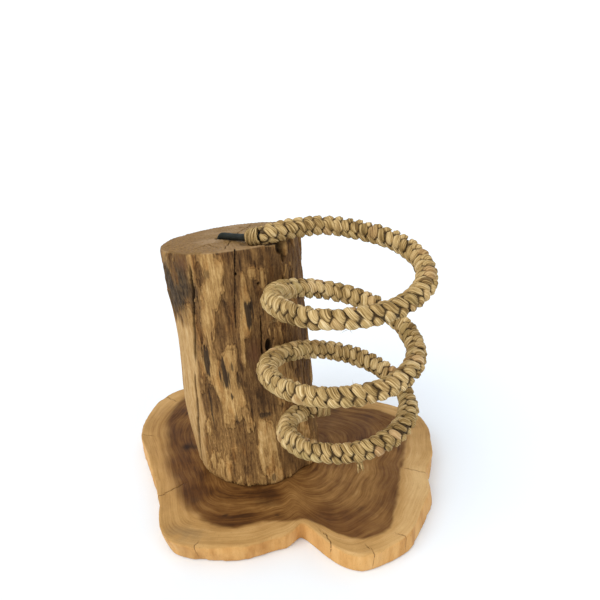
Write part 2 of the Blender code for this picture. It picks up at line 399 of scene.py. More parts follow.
def rod_route():
    leg = np.array(LEG_BOTTOM, float)
    laid = [
        np.array([x, y, log_top_height(x, y) + h]) for x, y, h in BARE_POINTS + REST_POINTS
    ]
    top = log_top_height(leg[0], leg[1]) + BARE_RISE
    along = laid[0] - np.array([leg[0], leg[1], top])
    along /= np.linalg.norm(along)
    up = np.array([0.0, 0.0, 1.0])
    bend = [
        np.array([leg[0], leg[1], top - LEG_BEND])
        + LEG_BEND * (math.sin(a) * up + (1 - math.cos(a)) * along)
        for a in np.radians(np.arange(0, 91, 15))
    ]
    knots = [leg + (bend[0] - leg) * t for t in (0.0, 0.25, 0.5, 0.75)] + bend
    start = len(knots) + len(BARE_POINTS)
    knots += laid
    angles = np.arange(COIL_LEAD[0][0], COIL_END + 0.1, 4.0)
    knots += [coil_point(a) for a in angles]
    knots = np.array(knots)
    chords = np.concatenate(
        [[0.0], np.cumsum(np.linalg.norm(np.diff(knots, axis=0), axis=1))]
    )
    fine = np.linspace(0.0, chords[-1], 1200)
    curve = at_lengths(knots, chords, fine)
    lengths = np.concatenate(
        [[0.0], np.cumsum(np.linalg.norm(np.diff(curve, axis=0), axis=1))]
    )
    return curve, lengths, float(np.interp(chords[start], fine, lengths))


ROUTE, ROUTE_LENGTHS, ROPE_START = rod_route()
ROPE_END = float(ROUTE_LENGTHS[-1])


def along_route(wanted):
    """Points on the route with an outward and an upward direction square to it."""
    wanted = np.asarray(wanted, float)
    held = np.clip(wanted, 0.0, ROPE_END)
    points = at_lengths(ROUTE, ROUTE_LENGTHS, held)
    ahead = at_lengths(ROUTE, ROUTE_LENGTHS, np.minimum(held + 0.6, ROPE_END))
    behind = at_lengths(ROUTE, ROUTE_LENGTHS, np.maximum(held - 0.6, 0.0))
    tangents = ahead - behind
    tangents /= np.linalg.norm(tangents, axis=1)[:, None]
    points = points + tangents * (wanted - held)[:, None]
    out = np.cross((0.0, 0.0, 1.0), tangents)
    out /= np.maximum(np.linalg.norm(out, axis=1), 1e-9)[:, None]
    return points, tangents, out, np.cross(tangents, out)


def swept(centres, normals, binormals, wide, thick, sides, power=2.0):
    """Points and faces of a closed strand: a rounded section carried along centres."""
    a = 2 * math.pi * np.arange(sides) / sides
    c = np.sign(np.cos(a)) * np.abs(np.cos(a)) ** (2.0 / power)
    s = np.sign(np.sin(a)) * np.abs(np.sin(a)) ** (2.0 / power)
    rings = (
        centres[:, None, :]
        + (wide[:, None] * c[None, :])[:, :, None] * binormals[:, None, :]
        + (thick[:, None] * s[None, :])[:, :, None] * normals[:, None, :]
    )
    count = len(centres)
    points = np.concatenate([rings.reshape(-1, 3), centres[:1], centres[-1:]])
    quads = grid_faces(count, sides)
    ends = np.concatenate(
        [
            fan(np.arange(sides)[::-1], count * sides),
            fan((count - 1) * sides + np.arange(sides), count * sides + 1),
        ]
    )
    return points, quads, ends


class Bundle:
    """Several closed strands gathered into one piece."""

    def __init__(self):
        self.points, self.quads, self.ends, self.size = [], [], [], 0
        self.values = {}

    def add(self, points, quads, ends, **values):
        self.points.append(points)
        self.quads.append(quads + self.size)
        self.ends.append(ends + self.size)
        self.size += len(points)
        for key, v in values.items():
            self.values.setdefault(key, []).append(v)

    def make(self, name, made_of, **rest):
        return make_object(
            name,
            np.concatenate(self.points),
            [np.concatenate(self.quads), np.concatenate(self.ends)],
            made_of,
            {k: np.concatenate(v) for k, v in self.values.items()},
            **rest,
        )


def strand_frames(centres, outward):
    tangent = np.gradient(centres, axis=0)
    tangent /= np.linalg.norm(tangent, axis=1)[:, None]
    normal = outward - tangent * np.sum(outward * tangent, axis=1)[:, None]
    normal /= np.linalg.norm(normal, axis=1)[:, None]
    return tangent, normal, np.cross(tangent, normal)


# ------------------------------------------------------------------ materials
def slab_material():
    m = Shade("slab_teak")
    place = m.place()
    heart, side, tone = m.attribute("heart"), m.attribute("side"), m.attribute("tone")
    spot, crack, grey = m.attribute("spot"), m.attribute("crack"), m.attribute("grey")
    red = m.attribute("red")
    rings = m.attribute_vector("ring_place")
    blotch = m.noise(place, 38.0, 4.0, 0.6)
    soft = m.noise(place, 20.0, 3.0, 0.5)
    streak = m.noise(rings, 1.0, 5.0, 0.62, 0.25)
    fine = m.noise(m.scaled(rings, (3.0, 1.8, 1.8)), 1.0, 4.0, 0.6, 0.15)
    fibre = m.noise(place, 900.0, 3.0, 0.6)
    wear = m.noise(place, 150.0, 4.0, 0.65)
    # one tone runs through the wood: broad marks, ring streaks, then fine lines
    level = m.math("MULTIPLY_ADD", m.math("SUBTRACT", streak, 0.5), 0.85, tone)
    level = m.math("MULTIPLY_ADD", m.math("SUBTRACT", fine, 0.5), 0.5, level)
    level = m.math("MULTIPLY_ADD", m.math("SUBTRACT", soft, 0.5), 0.45, level)
    level = m.math("MULTIPLY_ADD", m.math("SUBTRACT", wear, 0.5), 0.22, level)
    brown = m.ramp(
        level,
        (0.12, linear(50, 29, 13)),
        (0.30, linear(82, 51, 23)),
        (0.46, linear(109, 73, 35)),
        (0.60, linear(128, 90, 47)),
        (0.76, linear(150, 111, 62)),
        (0.92, linear(170, 132, 82)),
    )
    brown = m.mix(m.math("MULTIPLY", red, 0.45), brown, linear(98, 62, 34))
    # sapwood: pale honey, with faint lines
    honey = m.ramp(
        level,
        (0.14, linear(142, 104, 58)),
        (0.34, linear(168, 129, 76)),
        (0.52, linear(186, 146, 90)),
        (0.70, linear(198, 159, 104)),
        (0.90, linear(210, 174, 120)),
    )
    honey = m.mix(m.between(blotch, 0.54, 0.74, 0.0, 0.4), honey, linear(168, 126, 72))
    # the heartwood's edge wanders and carries a darker band
    ragged = m.math("MULTIPLY", m.math("SUBTRACT", blotch, 0.5), 5.0)
    ragged = m.math("MULTIPLY_ADD", m.math("SUBTRACT", wear, 0.5), 2.0, ragged)
    edge = m.math("MULTIPLY_ADD", ragged, m.attribute("ease"), heart)
    brown = m.mix(m.between(edge, 0.0, 8.0, 0.22, 0.0), brown, linear(86, 54, 27))
    honey = m.mix(m.between(edge, -8.0, -1.0, 0.0, 0.22), honey, linear(160, 118, 64))
    colour = m.mix(m.between(edge, -2.4, 1.8), honey, brown)
    # the outside, stripped of bark: orange honey with long shallow figure
    tall = m.noise(m.scaled(place, (120.0, 120.0, 26.0)), 1.0, 4.0, 0.6, 0.3)
    rind = m.ramp(
        tall,
        (0.28, linear(180, 128, 70)),
        (0.5, linear(206, 157, 94)),
        (0.72, linear(220, 175, 113)),
    )
    rind = m.mix(m.between(blotch, 0.55, 0.75, 0.0, 0.45), rind, linear(190, 136, 74))
    colour = m.mix(side, colour, rind)
    colour = m.mix(m.math("MULTIPLY", grey, 0.55), colour, linear(132, 110, 78))
    colour = m.mix(spot, colour, linear(40, 25, 16))
    colour = m.mix(crack, colour, linear(66, 42, 24))
    colour = m.mix(m.between(fibre, 0.30, 0.40, 0.3, 0.0), colour, linear(84, 56, 32))
    m.set(Base_Color=colour, Specular_IOR_Level=0.1)
    m.set(Roughness=m.between(blotch, 0.2, 0.8, 0.5, 0.68))
    height = m.math("MULTIPLY_ADD", streak, 0.6, m.math("MULTIPLY", fibre, 0.5))
    m.set(Normal=m.bump(height, 0.35, 0.0004))
    return m.made


def log_material():
    m = Shade("log_teak")
    grain_place = m.attribute_vector("grain_place")
    place = m.place()
    tone, dark, sap = m.attribute("tone"), m.attribute("dark"), m.attribute("sap")
    crack, top, grey = m.attribute("crack"), m.attribute("top"), m.attribute("grey")
    red = m.attribute("red")
    grain = m.noise(m.scaled(grain_place, (0.42, 0.42, 0.022)), 1.0, 5.0, 0.62, 0.2)
    thin = m.noise(m.scaled(grain_place, (1.35, 1.35, 0.07)), 1.0, 4.0, 0.62, 0.15)
    patch = m.noise(m.scaled(grain_place, (0.08, 0.08, 0.035)), 1.0, 4.0, 0.6)
    fleck = m.noise(m.scaled(grain_place, (0.55, 0.55, 0.20)), 1.0, 4.0, 0.65)
    # one tone runs through the wood, from bare dark brown to golden flakes
    mottle = m.noise(m.scaled(grain_place, (0.95, 0.95, 0.42)), 1.0, 5.0, 0.72, 0.4)
    level = m.math("MULTIPLY_ADD", m.math("SUBTRACT", grain, 0.5), 0.28, tone)
    level = m.math("MULTIPLY_ADD", m.math("SUBTRACT", thin, 0.5), 0.40, level)
    level = m.math("MULTIPLY_ADD", m.math("SUBTRACT", fleck, 0.5), 0.28, level)
    level = m.math("MULTIPLY_ADD", m.math("SUBTRACT", mottle, 0.5), 0.44, level)
    level = m.math("MULTIPLY_ADD", m.math("SUBTRACT", patch, 0.5), 0.12, level)
    colour = m.ramp(
        level,
        (0.10, linear(44, 30, 18)),
        (0.27, linear(82, 58, 34)),
        (0.41, linear(112, 82, 48)),
        (0.53, linear(138, 104, 61)),
        (0.66, linear(166, 130, 79)),
        (0.80, linear(190, 154, 100)),
        (0.96, linear(212, 180, 128)),
    )
    warm = m.between(m.noise(m.scaled(grain_place, (0.12, 0.12, 0.05), (7, 3, 5)), 1.0, 3.0), 0.5, 0.7, 0.0, 0.4)
    colour = m.mix(warm, colour, m.mix(1.0, colour, linear(255, 226, 190), "MULTIPLY"))
    pale = m.ramp(
        m.math("MULTIPLY_ADD", m.math("SUBTRACT", fleck, 0.5), 0.7, grain),
        (0.22, linear(146, 108, 62)),
        (0.45, linear(177, 141, 91)),
        (0.62, linear(190, 156, 107)),
        (0.82, linear(202, 172, 125)),
    )
    colour = m.mix(sap, colour, pale)
    colour = m.mix(m.math("MULTIPLY", red, 0.55), colour, linear(104, 68, 44))
    smoky = m.mix(
        m.between(fleck, 0.35, 0.64), linear(44, 36, 28), linear(90, 72, 50)
    )
    colour = m.mix(m.math("MULTIPLY", grey, 0.95), colour, smoky)
    colour = m.mix(m.math("MULTIPLY", dark, 0.9), colour, linear(42, 33, 27))
    # sawn top: dusty tan with faint rings and rays
    ring = m.noise(m.attribute_vector("ring_place"), 1.0, 4.0, 0.6, 0.2)
    dust = m.noise(place, 45.0, 3.0, 0.5)
    sawn = m.ramp(
        m.math("MULTIPLY_ADD", m.math("SUBTRACT", thin, 0.5), 0.3, ring),
        (0.22, linear(98, 73, 41)),
        (0.46, linear(128, 99, 58)),
        (0.72, linear(150, 120, 76)),
    )
    sawn = m.mix(m.between(dust, 0.42, 0.60, 0.1, 0.8), sawn, linear(160, 132, 97))
    pore = m.noise(place, 420.0, 2.0, 0.6)
    sawn = m.mix(m.between(pore, 0.30, 0.38, 0.45, 0.0), sawn, linear(94, 70, 44))
    # stain on the sawn top, with painted shade in its band round the rim
    sawn = m.mix(m.attribute("stain_and_rim_shade"), sawn, m.mix(m.between(fleck, 0.36, 0.64), linear(106, 75, 38), linear(148, 114, 64)))
    colour = m.mix(top, colour, sawn)
    # the crack mask paints real cracks and pits near black, and also the painted shade in the hollows under the
    # rope and in its trough
    colour = m.mix(crack, colour, linear(28, 19, 12))
    m.set(Base_Color=colour, Specular_IOR_Level=0.1)
    m.set(Roughness=m.between(grain, 0.2, 0.8, 0.82, 0.6))
    height = m.math("MULTIPLY_ADD", thin, 0.7, m.math("MULTIPLY", fleck, 0.7))
    m.set(Normal=m.bump(height, 0.6, 0.0009))
    return m.made


def rope_material(name, crevice_shade_share=1.0):
    m = Shade(name)
    tone, hue, lift = m.attribute("tone"), m.attribute("hue"), m.attribute("lift")
    strand = m.attribute_vector("strand_place")
    fibre = m.noise(m.scaled(strand, (0.10, 1.7, 1.7)), 1.0, 4.0, 0.6)
    broad = m.noise(m.scaled(strand, (0.10, 0.55, 0.55)), 1.0, 3.0, 0.55)
    level = m.math("MULTIPLY_ADD", m.math("SUBTRACT", tone, 0.5), 0.5, fibre)
    level = m.math("MULTIPLY_ADD", m.math("SUBTRACT", fibre, 0.5), 0.55, level)
    level = m.math("MULTIPLY_ADD", m.math("SUBTRACT", broad, 0.5), 0.6, level)
    straw = m.ramp(
        level,
        (0.20, linear(92, 69, 37)),
        (0.38, linear(139, 112, 66)),
        (0.52, linear(173, 144, 93)),
        (0.68, linear(201, 173, 121)),
        (0.86, linear(224, 202, 156)),
    )
    straw = m.mix(m.between(hue, 0.60, 1.0, 0.0, 0.4), straw, linear(188, 144, 104))
    straw = m.mix(m.between(hue, 0.40, 0.0, 0.0, 0.3), straw, linear(156, 142, 90))
    # painted shade: where the braid's surface lies deep towards the rod (low lift), the straw is darkened to
    # near black-brown as shade in the crevices
    straw = m.mix(
        m.between(lift, 0.12, 0.60, 0.88 * crevice_shade_share, 0.0), straw, linear(48, 32, 18)
    )
    m.set(Base_Color=straw, Specular_IOR_Level=0.12)
    m.set(Roughness=m.between(fibre, 0.2, 0.8, 0.8, 0.55))
    m.set(Normal=m.bump(fibre, 0.6, 0.0005))
    return m.made


def iron_material():
    m = Shade("black_iron")
    place = m.place()
    coarse = m.noise(place, 160.0, 4.0, 0.6)
    fine = m.noise(place, 900.0, 3.0, 0.6)
    colour = m.ramp(
        coarse,
        (0.3, linear(22, 25, 21)),
        (0.55, linear(33, 37, 32)),
        (0.8, linear(48, 46, 38)),
    )
    colour = m.mix(m.between(fine, 0.62, 0.75, 0.0, 0.4), colour, linear(70, 50, 34))
    m.set(Base_Color=colour, Metallic=0.15, Specular_IOR_Level=0.15)
    m.set(Roughness=m.between(coarse, 0.2, 0.8, 0.6, 0.8))
    m.set(Normal=m.bump(m.math("ADD", coarse, fine), 0.4, 0.0004))
    return m.made


def screw_material():
    m = Shade("zinc_screw")
    place = m.place()
    film = m.noise(place, 320.0, 3.0, 0.6)
    scratch = m.noise(m.scaled(place, (2600.0, 2600.0, 300.0)), 1.0, 2.0, 0.6)
    colour = m.ramp(
        film,
        (0.3, linear(150, 146, 128)),
        (0.55, linear(186, 182, 164)),
        (0.8, linear(204, 192, 150)),
    )
    m.set(Base_Color=colour, Metallic=1.0)
    m.set(Roughness=m.between(scratch, 0.2, 0.8, 0.28, 0.5))
    m.set(Normal=m.bump(scratch, 0.2, 0.0001))
    return m.made


# ------------------------------------------------------------------ base slab
def outline_radius(angle):
    return SLAB_RADIUS + bumps(angle, SLAB_LOBES)


OUTLINE_ANGLES = np.arange(0.0, 360.0, 0.5)
_r = outline_radius(OUTLINE_ANGLES)
_xy = np.stack(
    [_r * np.cos(np.radians(OUTLINE_ANGLES)), _r * np.sin(np.radians(OUTLINE_ANGLES))],
    axis=1,
)
# the outline's own middle, as 120 points of it give it
_coarse = _xy[::6]
SLAB_OFFSET = np.array(SLAB_MIDDLE) - (_coarse.min(axis=0) + _coarse.max(axis=0)) / 2
_about = _xy + SLAB_OFFSET - np.array(PITH)
_order = np.argsort(np.degrees(np.arctan2(_about[:, 1], _about[:, 0])) % 360.0)
PITH_ANGLES = (np.degrees(np.arctan2(_about[:, 1], _about[:, 0])) % 360.0)[_order]
PITH_RADII = np.hypot(_about[:, 0], _about[:, 1])[_order]
# the heartwood follows the outline with its sharp bays eased
_reach = np.arange(-24, 25)
_weight = np.exp(-0.5 * (_reach / 9.0) ** 2)
HEART_RADII = sum(w * np.roll(PITH_RADII, int(k)) for k, w in zip(_reach, _weight))
HEART_RADII = HEART_RADII / _weight.sum()

# heartwood edge: angle about the pith and share of the way to the rim
HEART = (
    (1, 0.827),
    (30, 0.860),
    (60, 0.820),
    (90, 0.800),
    (120, 0.830),
    (145, 0.869),
    (161, 0.828),
    (180, 0.791),
    (204, 0.859),
    (225, 0.841),
    (244, 0.756),
    (256, 0.819),
    (273, 0.816),
    (288, 0.889),
    (298, 0.826),
    (304, 0.875),
    (311, 0.914),
    (317, 0.909),
    (323, 0.864),
    (335, 0.825),
    (352, 0.842),
)
# checks in the rim: angle, inner and outer radius, half width, depth, drift in degrees
SLAB_CHECKS = (
    (213.5, 84, 106, 0.5, 1.6, 3.5),
    (354.3, 110, 133, 0.45, 1.5, -2.0),
    (286.3, 92, 125, 0.28, 1.2, 0.5),
    (296.3, 99, 106, 0.45, 1.4, 2.0),
    (308.0, 127, 150, 0.30, 1.2, 0.8),
    (319.0, 133, 138, 0.45, 1.2, 2.0),
    (172.0, 120, 150, 0.4, 1.2, 1.0),
    (146.0, 138, 170, 0.5, 1.8, 1.2),
    (100.0, 92, 130, 0.5, 1.6, -1.5),
    (66.0, 100, 126, 0.4, 1.2, 1.0),
    (31.0, 130, 160, 0.5, 1.8, -1.0),
    (248.0, 118, 140, 0.4, 1.2, 1.0),
)
# dark marks on the top: x, y, half sizes, turn in degrees, strength
SLAB_SPOTS = (
    (-84.5, 6.5, 7.0, 7.5, 10.0, 0.95),
    (-80.0, 7.5, 15.0, 5.0, -8.0, 0.7),
    (-31.5, -78.2, 3.2, 1.6, 20.0, 0.7),
    (9.0, -74.0, 2.2, 1.4, 0.0, 0.7),
    (-60.3, -62.0, 6.5, 8.0, 30.0, 0.35),
    (74.0, -60.0, 5.0, 3.5, 25.0, 0.3),
    (-2.0, -60.0, 14.0, 6.0, -5.0, 0.35),
    (46.0, 78.0, 7.0, 5.0, 0.0, 0.5),
)


# lighter and darker regions of the top: x, y, half sizes, tone, redness
SLAB_TONES = (
    (-101, 42, 8, 30, -0.14, 0.1),
    (-92, 12, 14, 10, -0.14, 0.2),
    (-84, -20, 10, 16, -0.06, 0.1),
    (-60, -57, 8, 9, -0.16, 0.6),
    (-30, -51, 24, 4, -0.18, 0.2),
    (-4, -56, 20, 5, -0.07, 0.2),
    (0, -49, 7, 5, -0.26, 0.4),
    (-32, -81, 12, 5, -0.10, 0.6),
    (-36, -72, 12, 8, 0.10, 0.2),
    (-6, -77, 14, 3, -0.14, 0.3),
    (25, -58, 20, 9, 0.08, 0.0),
    (68, -28, 22, 15, 0.13, 0.0),
    (105, -24, 5, 26, -0.14, 0.2),
    (99, -55, 5, 18, -0.16, 0.3),
    (72, -79, 22, 9, -0.13, 0.8),
    (81, -65, 4, 4, 0.10, 0.0),
    (45, -68, 14, 5, -0.10, 0.3),
    (-64, -98, 17, 9, -0.10, 0.0),
    (-122, 30, 10, 26, -0.16, 0.0),
    (30, -92, 20, 5, 0.10, 0.0),
    (119, -24, 11, 34, 0.30, 0.0),
    (106, -86, 15, 16, 0.38, 0.0),
    (20, 70, 30, 18, -0.08, 0.2),
    (-60, 80, 26, 12, 0.06, 0.0),
    (80, 40, 20, 16, -0.06, 0.3),
)


def check_depth(angle, radius):
    """Depth of the rim checks at points given in the outline's own polar frame."""
    depth = np.zeros(np.broadcast(angle, radius).shape)
    for centre, inner, outer, half, deep, drift in SLAB_CHECKS:
        share = np.clip((radius - inner) / (outer - inner), 0.0, 1.0)
        way = centre + drift * (share - 0.5) + 0.25 * np.sin(radius * 0.9)
        off = np.abs(turn(angle, 0.0) - turn(way, 0.0))
        off = np.minimum(off, 360.0 - off) * math.pi / 180.0 * radius
        inside = step(inner - 1.0, inner + 5.0, radius)
        depth = np.maximum(depth, deep * inside * step(1.0, 0.0, off / half))
    return depth


def slab_values(points):
    """Material values on the slab from where its points are."""
    x, y, z = points.T
    about = np.stack([x - PITH[0], y - PITH[1]], axis=1)
    angle = np.degrees(np.arctan2(about[:, 1], about[:, 0])) % 360.0
    radius = np.hypot(about[:, 0], about[:, 1])
    rim = np.interp(angle, PITH_ANGLES, PITH_RADII, period=360.0)
    share = radius / rim
    table = np.array(HEART, float)
    edge = np.interp(angle, table[:, 0], table[:, 1], period=360.0)
    wander = 2.0 * (fbm(x / 22.0 + 40, y / 22.0 + 40, 31, 3) - 0.5)
    eased = np.interp(angle, PITH_ANGLES, HEART_RADII, period=360.0)
    heart = edge * eased - radius + 3.0 * wander
    # the edge is soft on the left and crisp in front and on the right
    blur = np.exp(-0.5 * (turn(angle, 196.0) / 30.0) ** 2)
    ease = 1.0 / (1.0 + 3.0 * blur)
    heart = heart * ease
    tone, red = np.full(len(x), 0.5), np.zeros(len(x))
    for cx, cy, wx, wy, weight, ruddy in SLAB_TONES:
        near = np.exp(-0.5 * (((x - cx) / wx) ** 2 + ((y - cy) / wy) ** 2))
        tone, red = tone + weight * near, np.maximum(red, ruddy * near)
    tone = tone + 0.25 * (fbm(x / 16.0 + 3, y / 16.0 + 3, 91, 3) - 0.5)
    ring = share * 115.0 + 5.0 * (fbm(x / 30.0 + 9, y / 30.0 + 9, 77, 3) - 0.5)
    a = np.radians(angle)
    ring_place = np.stack(
        [ring * 0.30, np.cos(a) * 2.2 + 7.0, np.sin(a) * 2.2 + 3.0], axis=1
    )
    spot = np.zeros(len(x))
    for sx, sy, hx, hy, tilt, strength in SLAB_SPOTS:
        c, s = math.cos(math.radians(tilt)), math.sin(math.radians(tilt))
        u = ((x - sx) * c + (y - sy) * s) / hx
        v = (-(x - sx) * s + (y - sy) * c) / hy
        far = np.sqrt(u * u + v * v) + 0.5 * (fbm(x / 3.0, y / 3.0, 13, 3) - 0.5)
        spot = np.maximum(spot, strength * step(1.15, 0.15, far))
    own = points[:, :2] - SLAB_OFFSET
    own_angle = np.degrees(np.arctan2(own[:, 1], own[:, 0])) % 360.0
    own_radius = np.hypot(own[:, 0], own[:, 1])
    inward = outline_radius(own_angle) - own_radius
    side = np.maximum(step(2.0, 0.6, inward) * step(17.6, 16.6, z), step(16.4, 15.6, z))
    side = side * np.where(z < 0.05, step(5.0, 2.5, inward), 1.0)
    crack = np.clip(check_depth(own_angle, own_radius) / 1.0, 0.0, 1.0)
    crack *= step(2.0, 9.0, z)
    smudge = np.exp(-(((x + 57) / 16.0) ** 2 + ((y + 101) / 9.0) ** 2))
    grey = smudge * step(0.35, 0.7, fbm(x / 7.0, y / 7.0, 5, 3))
    return {
        "heart": heart,
        "ease": ease,
        "tone": tone,
        "red": red,
        "ring_place": ring_place,
        "side": side,
        "spot": spot,
        "crack": crack,
        "grey": grey,
    }


def build_slab(made_of):
    angles = list(np.arange(0.0, 360.0, 0.6))
    for centre, *_rest in SLAB_CHECKS:
        angles += list(centre + np.linspace(-2.4, 2.4, 33))
    angles = np.unique(np.round(np.array(angles) % 360.0, 3))
    keep = np.concatenate([[True], np.diff(angles) > 0.02])
    angles = angles[keep]
    count = len(angles)
    base = outline_radius(angles)
    under = bumps(angles, SLAB_UNDERCUT)
    c, s = np.cos(np.radians(angles)), np.sin(np.radians(angles))
    # hewn facets round the outside
    arc = np.cumsum(np.concatenate([[0.0], np.diff(angles)])) / 360.0

    def rim(z, ease):
        facets = 1.6 * (noise(arc * 46.0, z / 26.0 + 3.0, 5, 46) - 0.5)
        facets += 1.1 * (noise(arc * 110.0, z / 9.0 + 1.0, 9, 110) - 0.5)
        facets += 0.5 * (noise(arc * 300.0, z / 5.0, 21, 300) - 0.5)
        return base - under * (1.0 - z / SLAB_THICKNESS) - ease + facets - 0.5

    rows = []

    def row(radius, z):
        cut_in = check_depth(angles, radius)
        low = np.asarray(z, float) - np.where(np.asarray(z) > 14.0, cut_in, 0.0)
        rr = radius - np.where(np.asarray(z) <= 14.0, 0.6 * cut_in, 0.0)
        rows.append(
            np.stack(
                [
                    rr * c + SLAB_OFFSET[0],
                    rr * s + SLAB_OFFSET[1],
                    low * np.ones(count),
                ],
                axis=1,
            )
        )

    # underside, in rows out to the rim
    for share in np.linspace(0.62, 0.95, 18):
        radius = rim(0.0, 1.6) * share
        x, y = radius * c + SLAB_OFFSET[0], radius * s + SLAB_OFFSET[1]
        rows.append(np.stack([x, y, np.zeros(count)], axis=1))
    # eased lower edge, side, eased upper edge
    for z, ease in (
        (0.0, 1.6),
        (0.35, 0.7),
        (1.2, 0.1),
        (3.0, 0.0),
        (5.0, 0.0),
        (7.0, 0.0),
        (9.0, 0.0),
        (11.0, 0.0),
        (13.0, 0.0),
        (15.0, 0.05),
        (16.3, 0.2),
        (17.2, 0.65),
        (17.75, 1.3),
    ):
        row(rim(z, ease), z)
    lowest = rows[0]
    # top: worn slightly hollow inside the sapwood, with a little undulation
    edge = rim(17.75, 2.2)
    for share in np.concatenate(
        [
            [1.0, 0.99, 0.98, 0.965, 0.95],
            np.linspace(0.93, 0.55, 28),
            np.linspace(0.52, 0.06, 14),
        ]
    ):
        radius = edge * share
        x, y = radius * c + SLAB_OFFSET[0], radius * s + SLAB_OFFSET[1]
        wave = 0.55 * (fbm(x / 24.0 + 5, y / 24.0 + 5, 3, 3) - 0.5)
        wave += 0.25 * (fbm(x / 5.0 + 5, y / 5.0 + 5, 8, 2) - 0.5)
        row(radius, 17.85 + wave - 0.35 * step(0.95, 0.80, share))
    points = np.concatenate(rows)
    quads = grid_faces(len(rows), count)
    tip = len(points)
    points = np.concatenate([points, [[*SLAB_OFFSET, 17.6]]])
    last = (len(rows) - 1) * count + np.arange(count)
    faces = [quads, fan(last, tip)]

    # three countersunk holes
    size = len(points)
    loops, mouths = [np.arange(count)], []
    for angle in SCREW_ANGLES:
        hx = LOG_FOOT[0] + SCREW_CIRCLE * math.cos(math.radians(angle))
        hy = LOG_FOOT[1] + SCREW_CIRCLE * math.sin(math.radians(angle))
        turns = 2 * math.pi * np.arange(28) / 28
        levels = ((5.5, 0.0), (5.25, 0.4), (5.25, 1.7), (2.85, 4.4), (2.85, 15.0))
        wall = np.array(
            [
                [(hx + r * math.cos(a), hy + r * math.sin(a), z) for a in turns]
                for r, z in levels
            ]
        )
        loops.append(size + np.arange(28))
        mouths.append((hx, hy))
        flat = wall.reshape(-1, 3)
        points = np.concatenate([points, flat, [(hx, hy, 15.0)]])
        faces.append(grid_faces(len(wall), 28, size))
        faces.append(fan(size + (len(wall) - 1) * 28 + np.arange(28), size + len(flat)))
        size = len(points)
    # the underside's middle, filled between the inmost row and the holes' mouths
    ring = lowest[:, :2]
    steps = np.arange(-120.0, 121.0, 2.5)
    inner = np.stack(np.meshgrid(steps, steps), axis=-1).reshape(-1, 2)
    own = inner - SLAB_OFFSET
    limit = np.interp(
        np.degrees(np.arctan2(own[:, 1], own[:, 0])) % 360.0,
        angles,
        np.hypot(*(ring - SLAB_OFFSET).T),
        period=360.0,
    )
    clear = np.hypot(own[:, 0], own[:, 1]) < limit - 2.0
    for hx, hy in mouths:
        clear &= np.hypot(inner[:, 0] - hx, inner[:, 1] - hy) > 7.0
    inner = inner[clear]
    points = np.concatenate([points, np.column_stack([inner, np.zeros(len(inner))])])
    used = np.concatenate([*loops, size + np.arange(len(inner))])
    owner = np.concatenate(
        [np.full(len(loop), n) for n, loop in enumerate(loops)] + [np.full(len(inner), -1)]
    )
    edges, first = [], 0
    for loop in loops:
        edges += [(first + i, first + (i + 1) % len(loop)) for i in range(len(loop))]
        first += len(loop)
    filled = delaunay_2d_cdt([Vector(q) for q in points[used, :2]], edges, [], 0, 1e-7)
    place = np.array([ids[0] for ids in filled[3]])
    corners = place[np.array([list(f) for f in filled[2]])]
    mine = owner[corners]
    same = (mine[:, 0] == mine[:, 1]) & (mine[:, 1] == mine[:, 2])
    middle = points[used[corners], :2].mean(axis=1)
    ahead = np.roll(ring, -1, axis=0)
    rise = np.where(ahead[:, 1] == ring[:, 1], 1e-9, ahead[:, 1] - ring[:, 1])
    crosses = (ring[:, 1] > middle[:, 1:]) != (ahead[:, 1] > middle[:, 1:])
    at = ring[:, 0] + (middle[:, 1:] - ring[:, 1]) * (ahead[:, 0] - ring[:, 0]) / rise
    within = (crosses & (middle[:, :1] < at)).sum(axis=1) % 2 == 1
    keep = within & ~(same & (mine[:, 0] > 0))
    faces.append(used[corners[keep]][:, ::-1].astype(np.int32))
    return make_object(
        "base_slab_wood",
        points,
        faces,
        made_of,
        slab_values(points),
        slot="slab_wood",
        stands_for=("base_slab",),
    )


# ------------------------------------------------------------------ log post
# cracks down the side: (share of height, angle) pairs, half width, depth
LOG_CRACKS = (
    (
        ((0.94, 247.2), (0.86, 245.2), (0.74, 240.1), (0.67, 237.0), (0.54, 231.9)),
        2.1,
        4.2,
    ),
    (
        ((0.47, 228.5), (0.43, 227.1), (0.36, 227.3), (0.27, 224.7), (0.16, 219.5), (0.02, 212.5)),
        1.7,
        3.6,
    ),
    (((1.0, 285.4), (0.91, 282.9), (0.81, 280.0), (0.70, 277.4)), 0.55, 1.6),
    (((0.72, 298.6), (0.65, 297.6), (0.55, 296.2)), 0.8, 4.0),
    (((0.98, 20.0), (0.7, 24.0), (0.4, 18.0), (0.22, 21.0)), 0.8, 5.0),
    (((0.62, 95.0), (0.4, 92.0), (0.2, 97.0), (0.0, 94.0)), 0.7, 5.0),
    (((1.0, 150.0), (0.8, 147.0), (0.6, 152.0), (0.42, 149.0)), 0.9, 6.0),
    (((0.5, 340.0), (0.3, 343.0), (0.05, 338.0)), 0.6, 3.5),
    (((0.97, 60.0), (0.85, 62.0), (0.7, 58.0)), 0.5, 3.0),
)
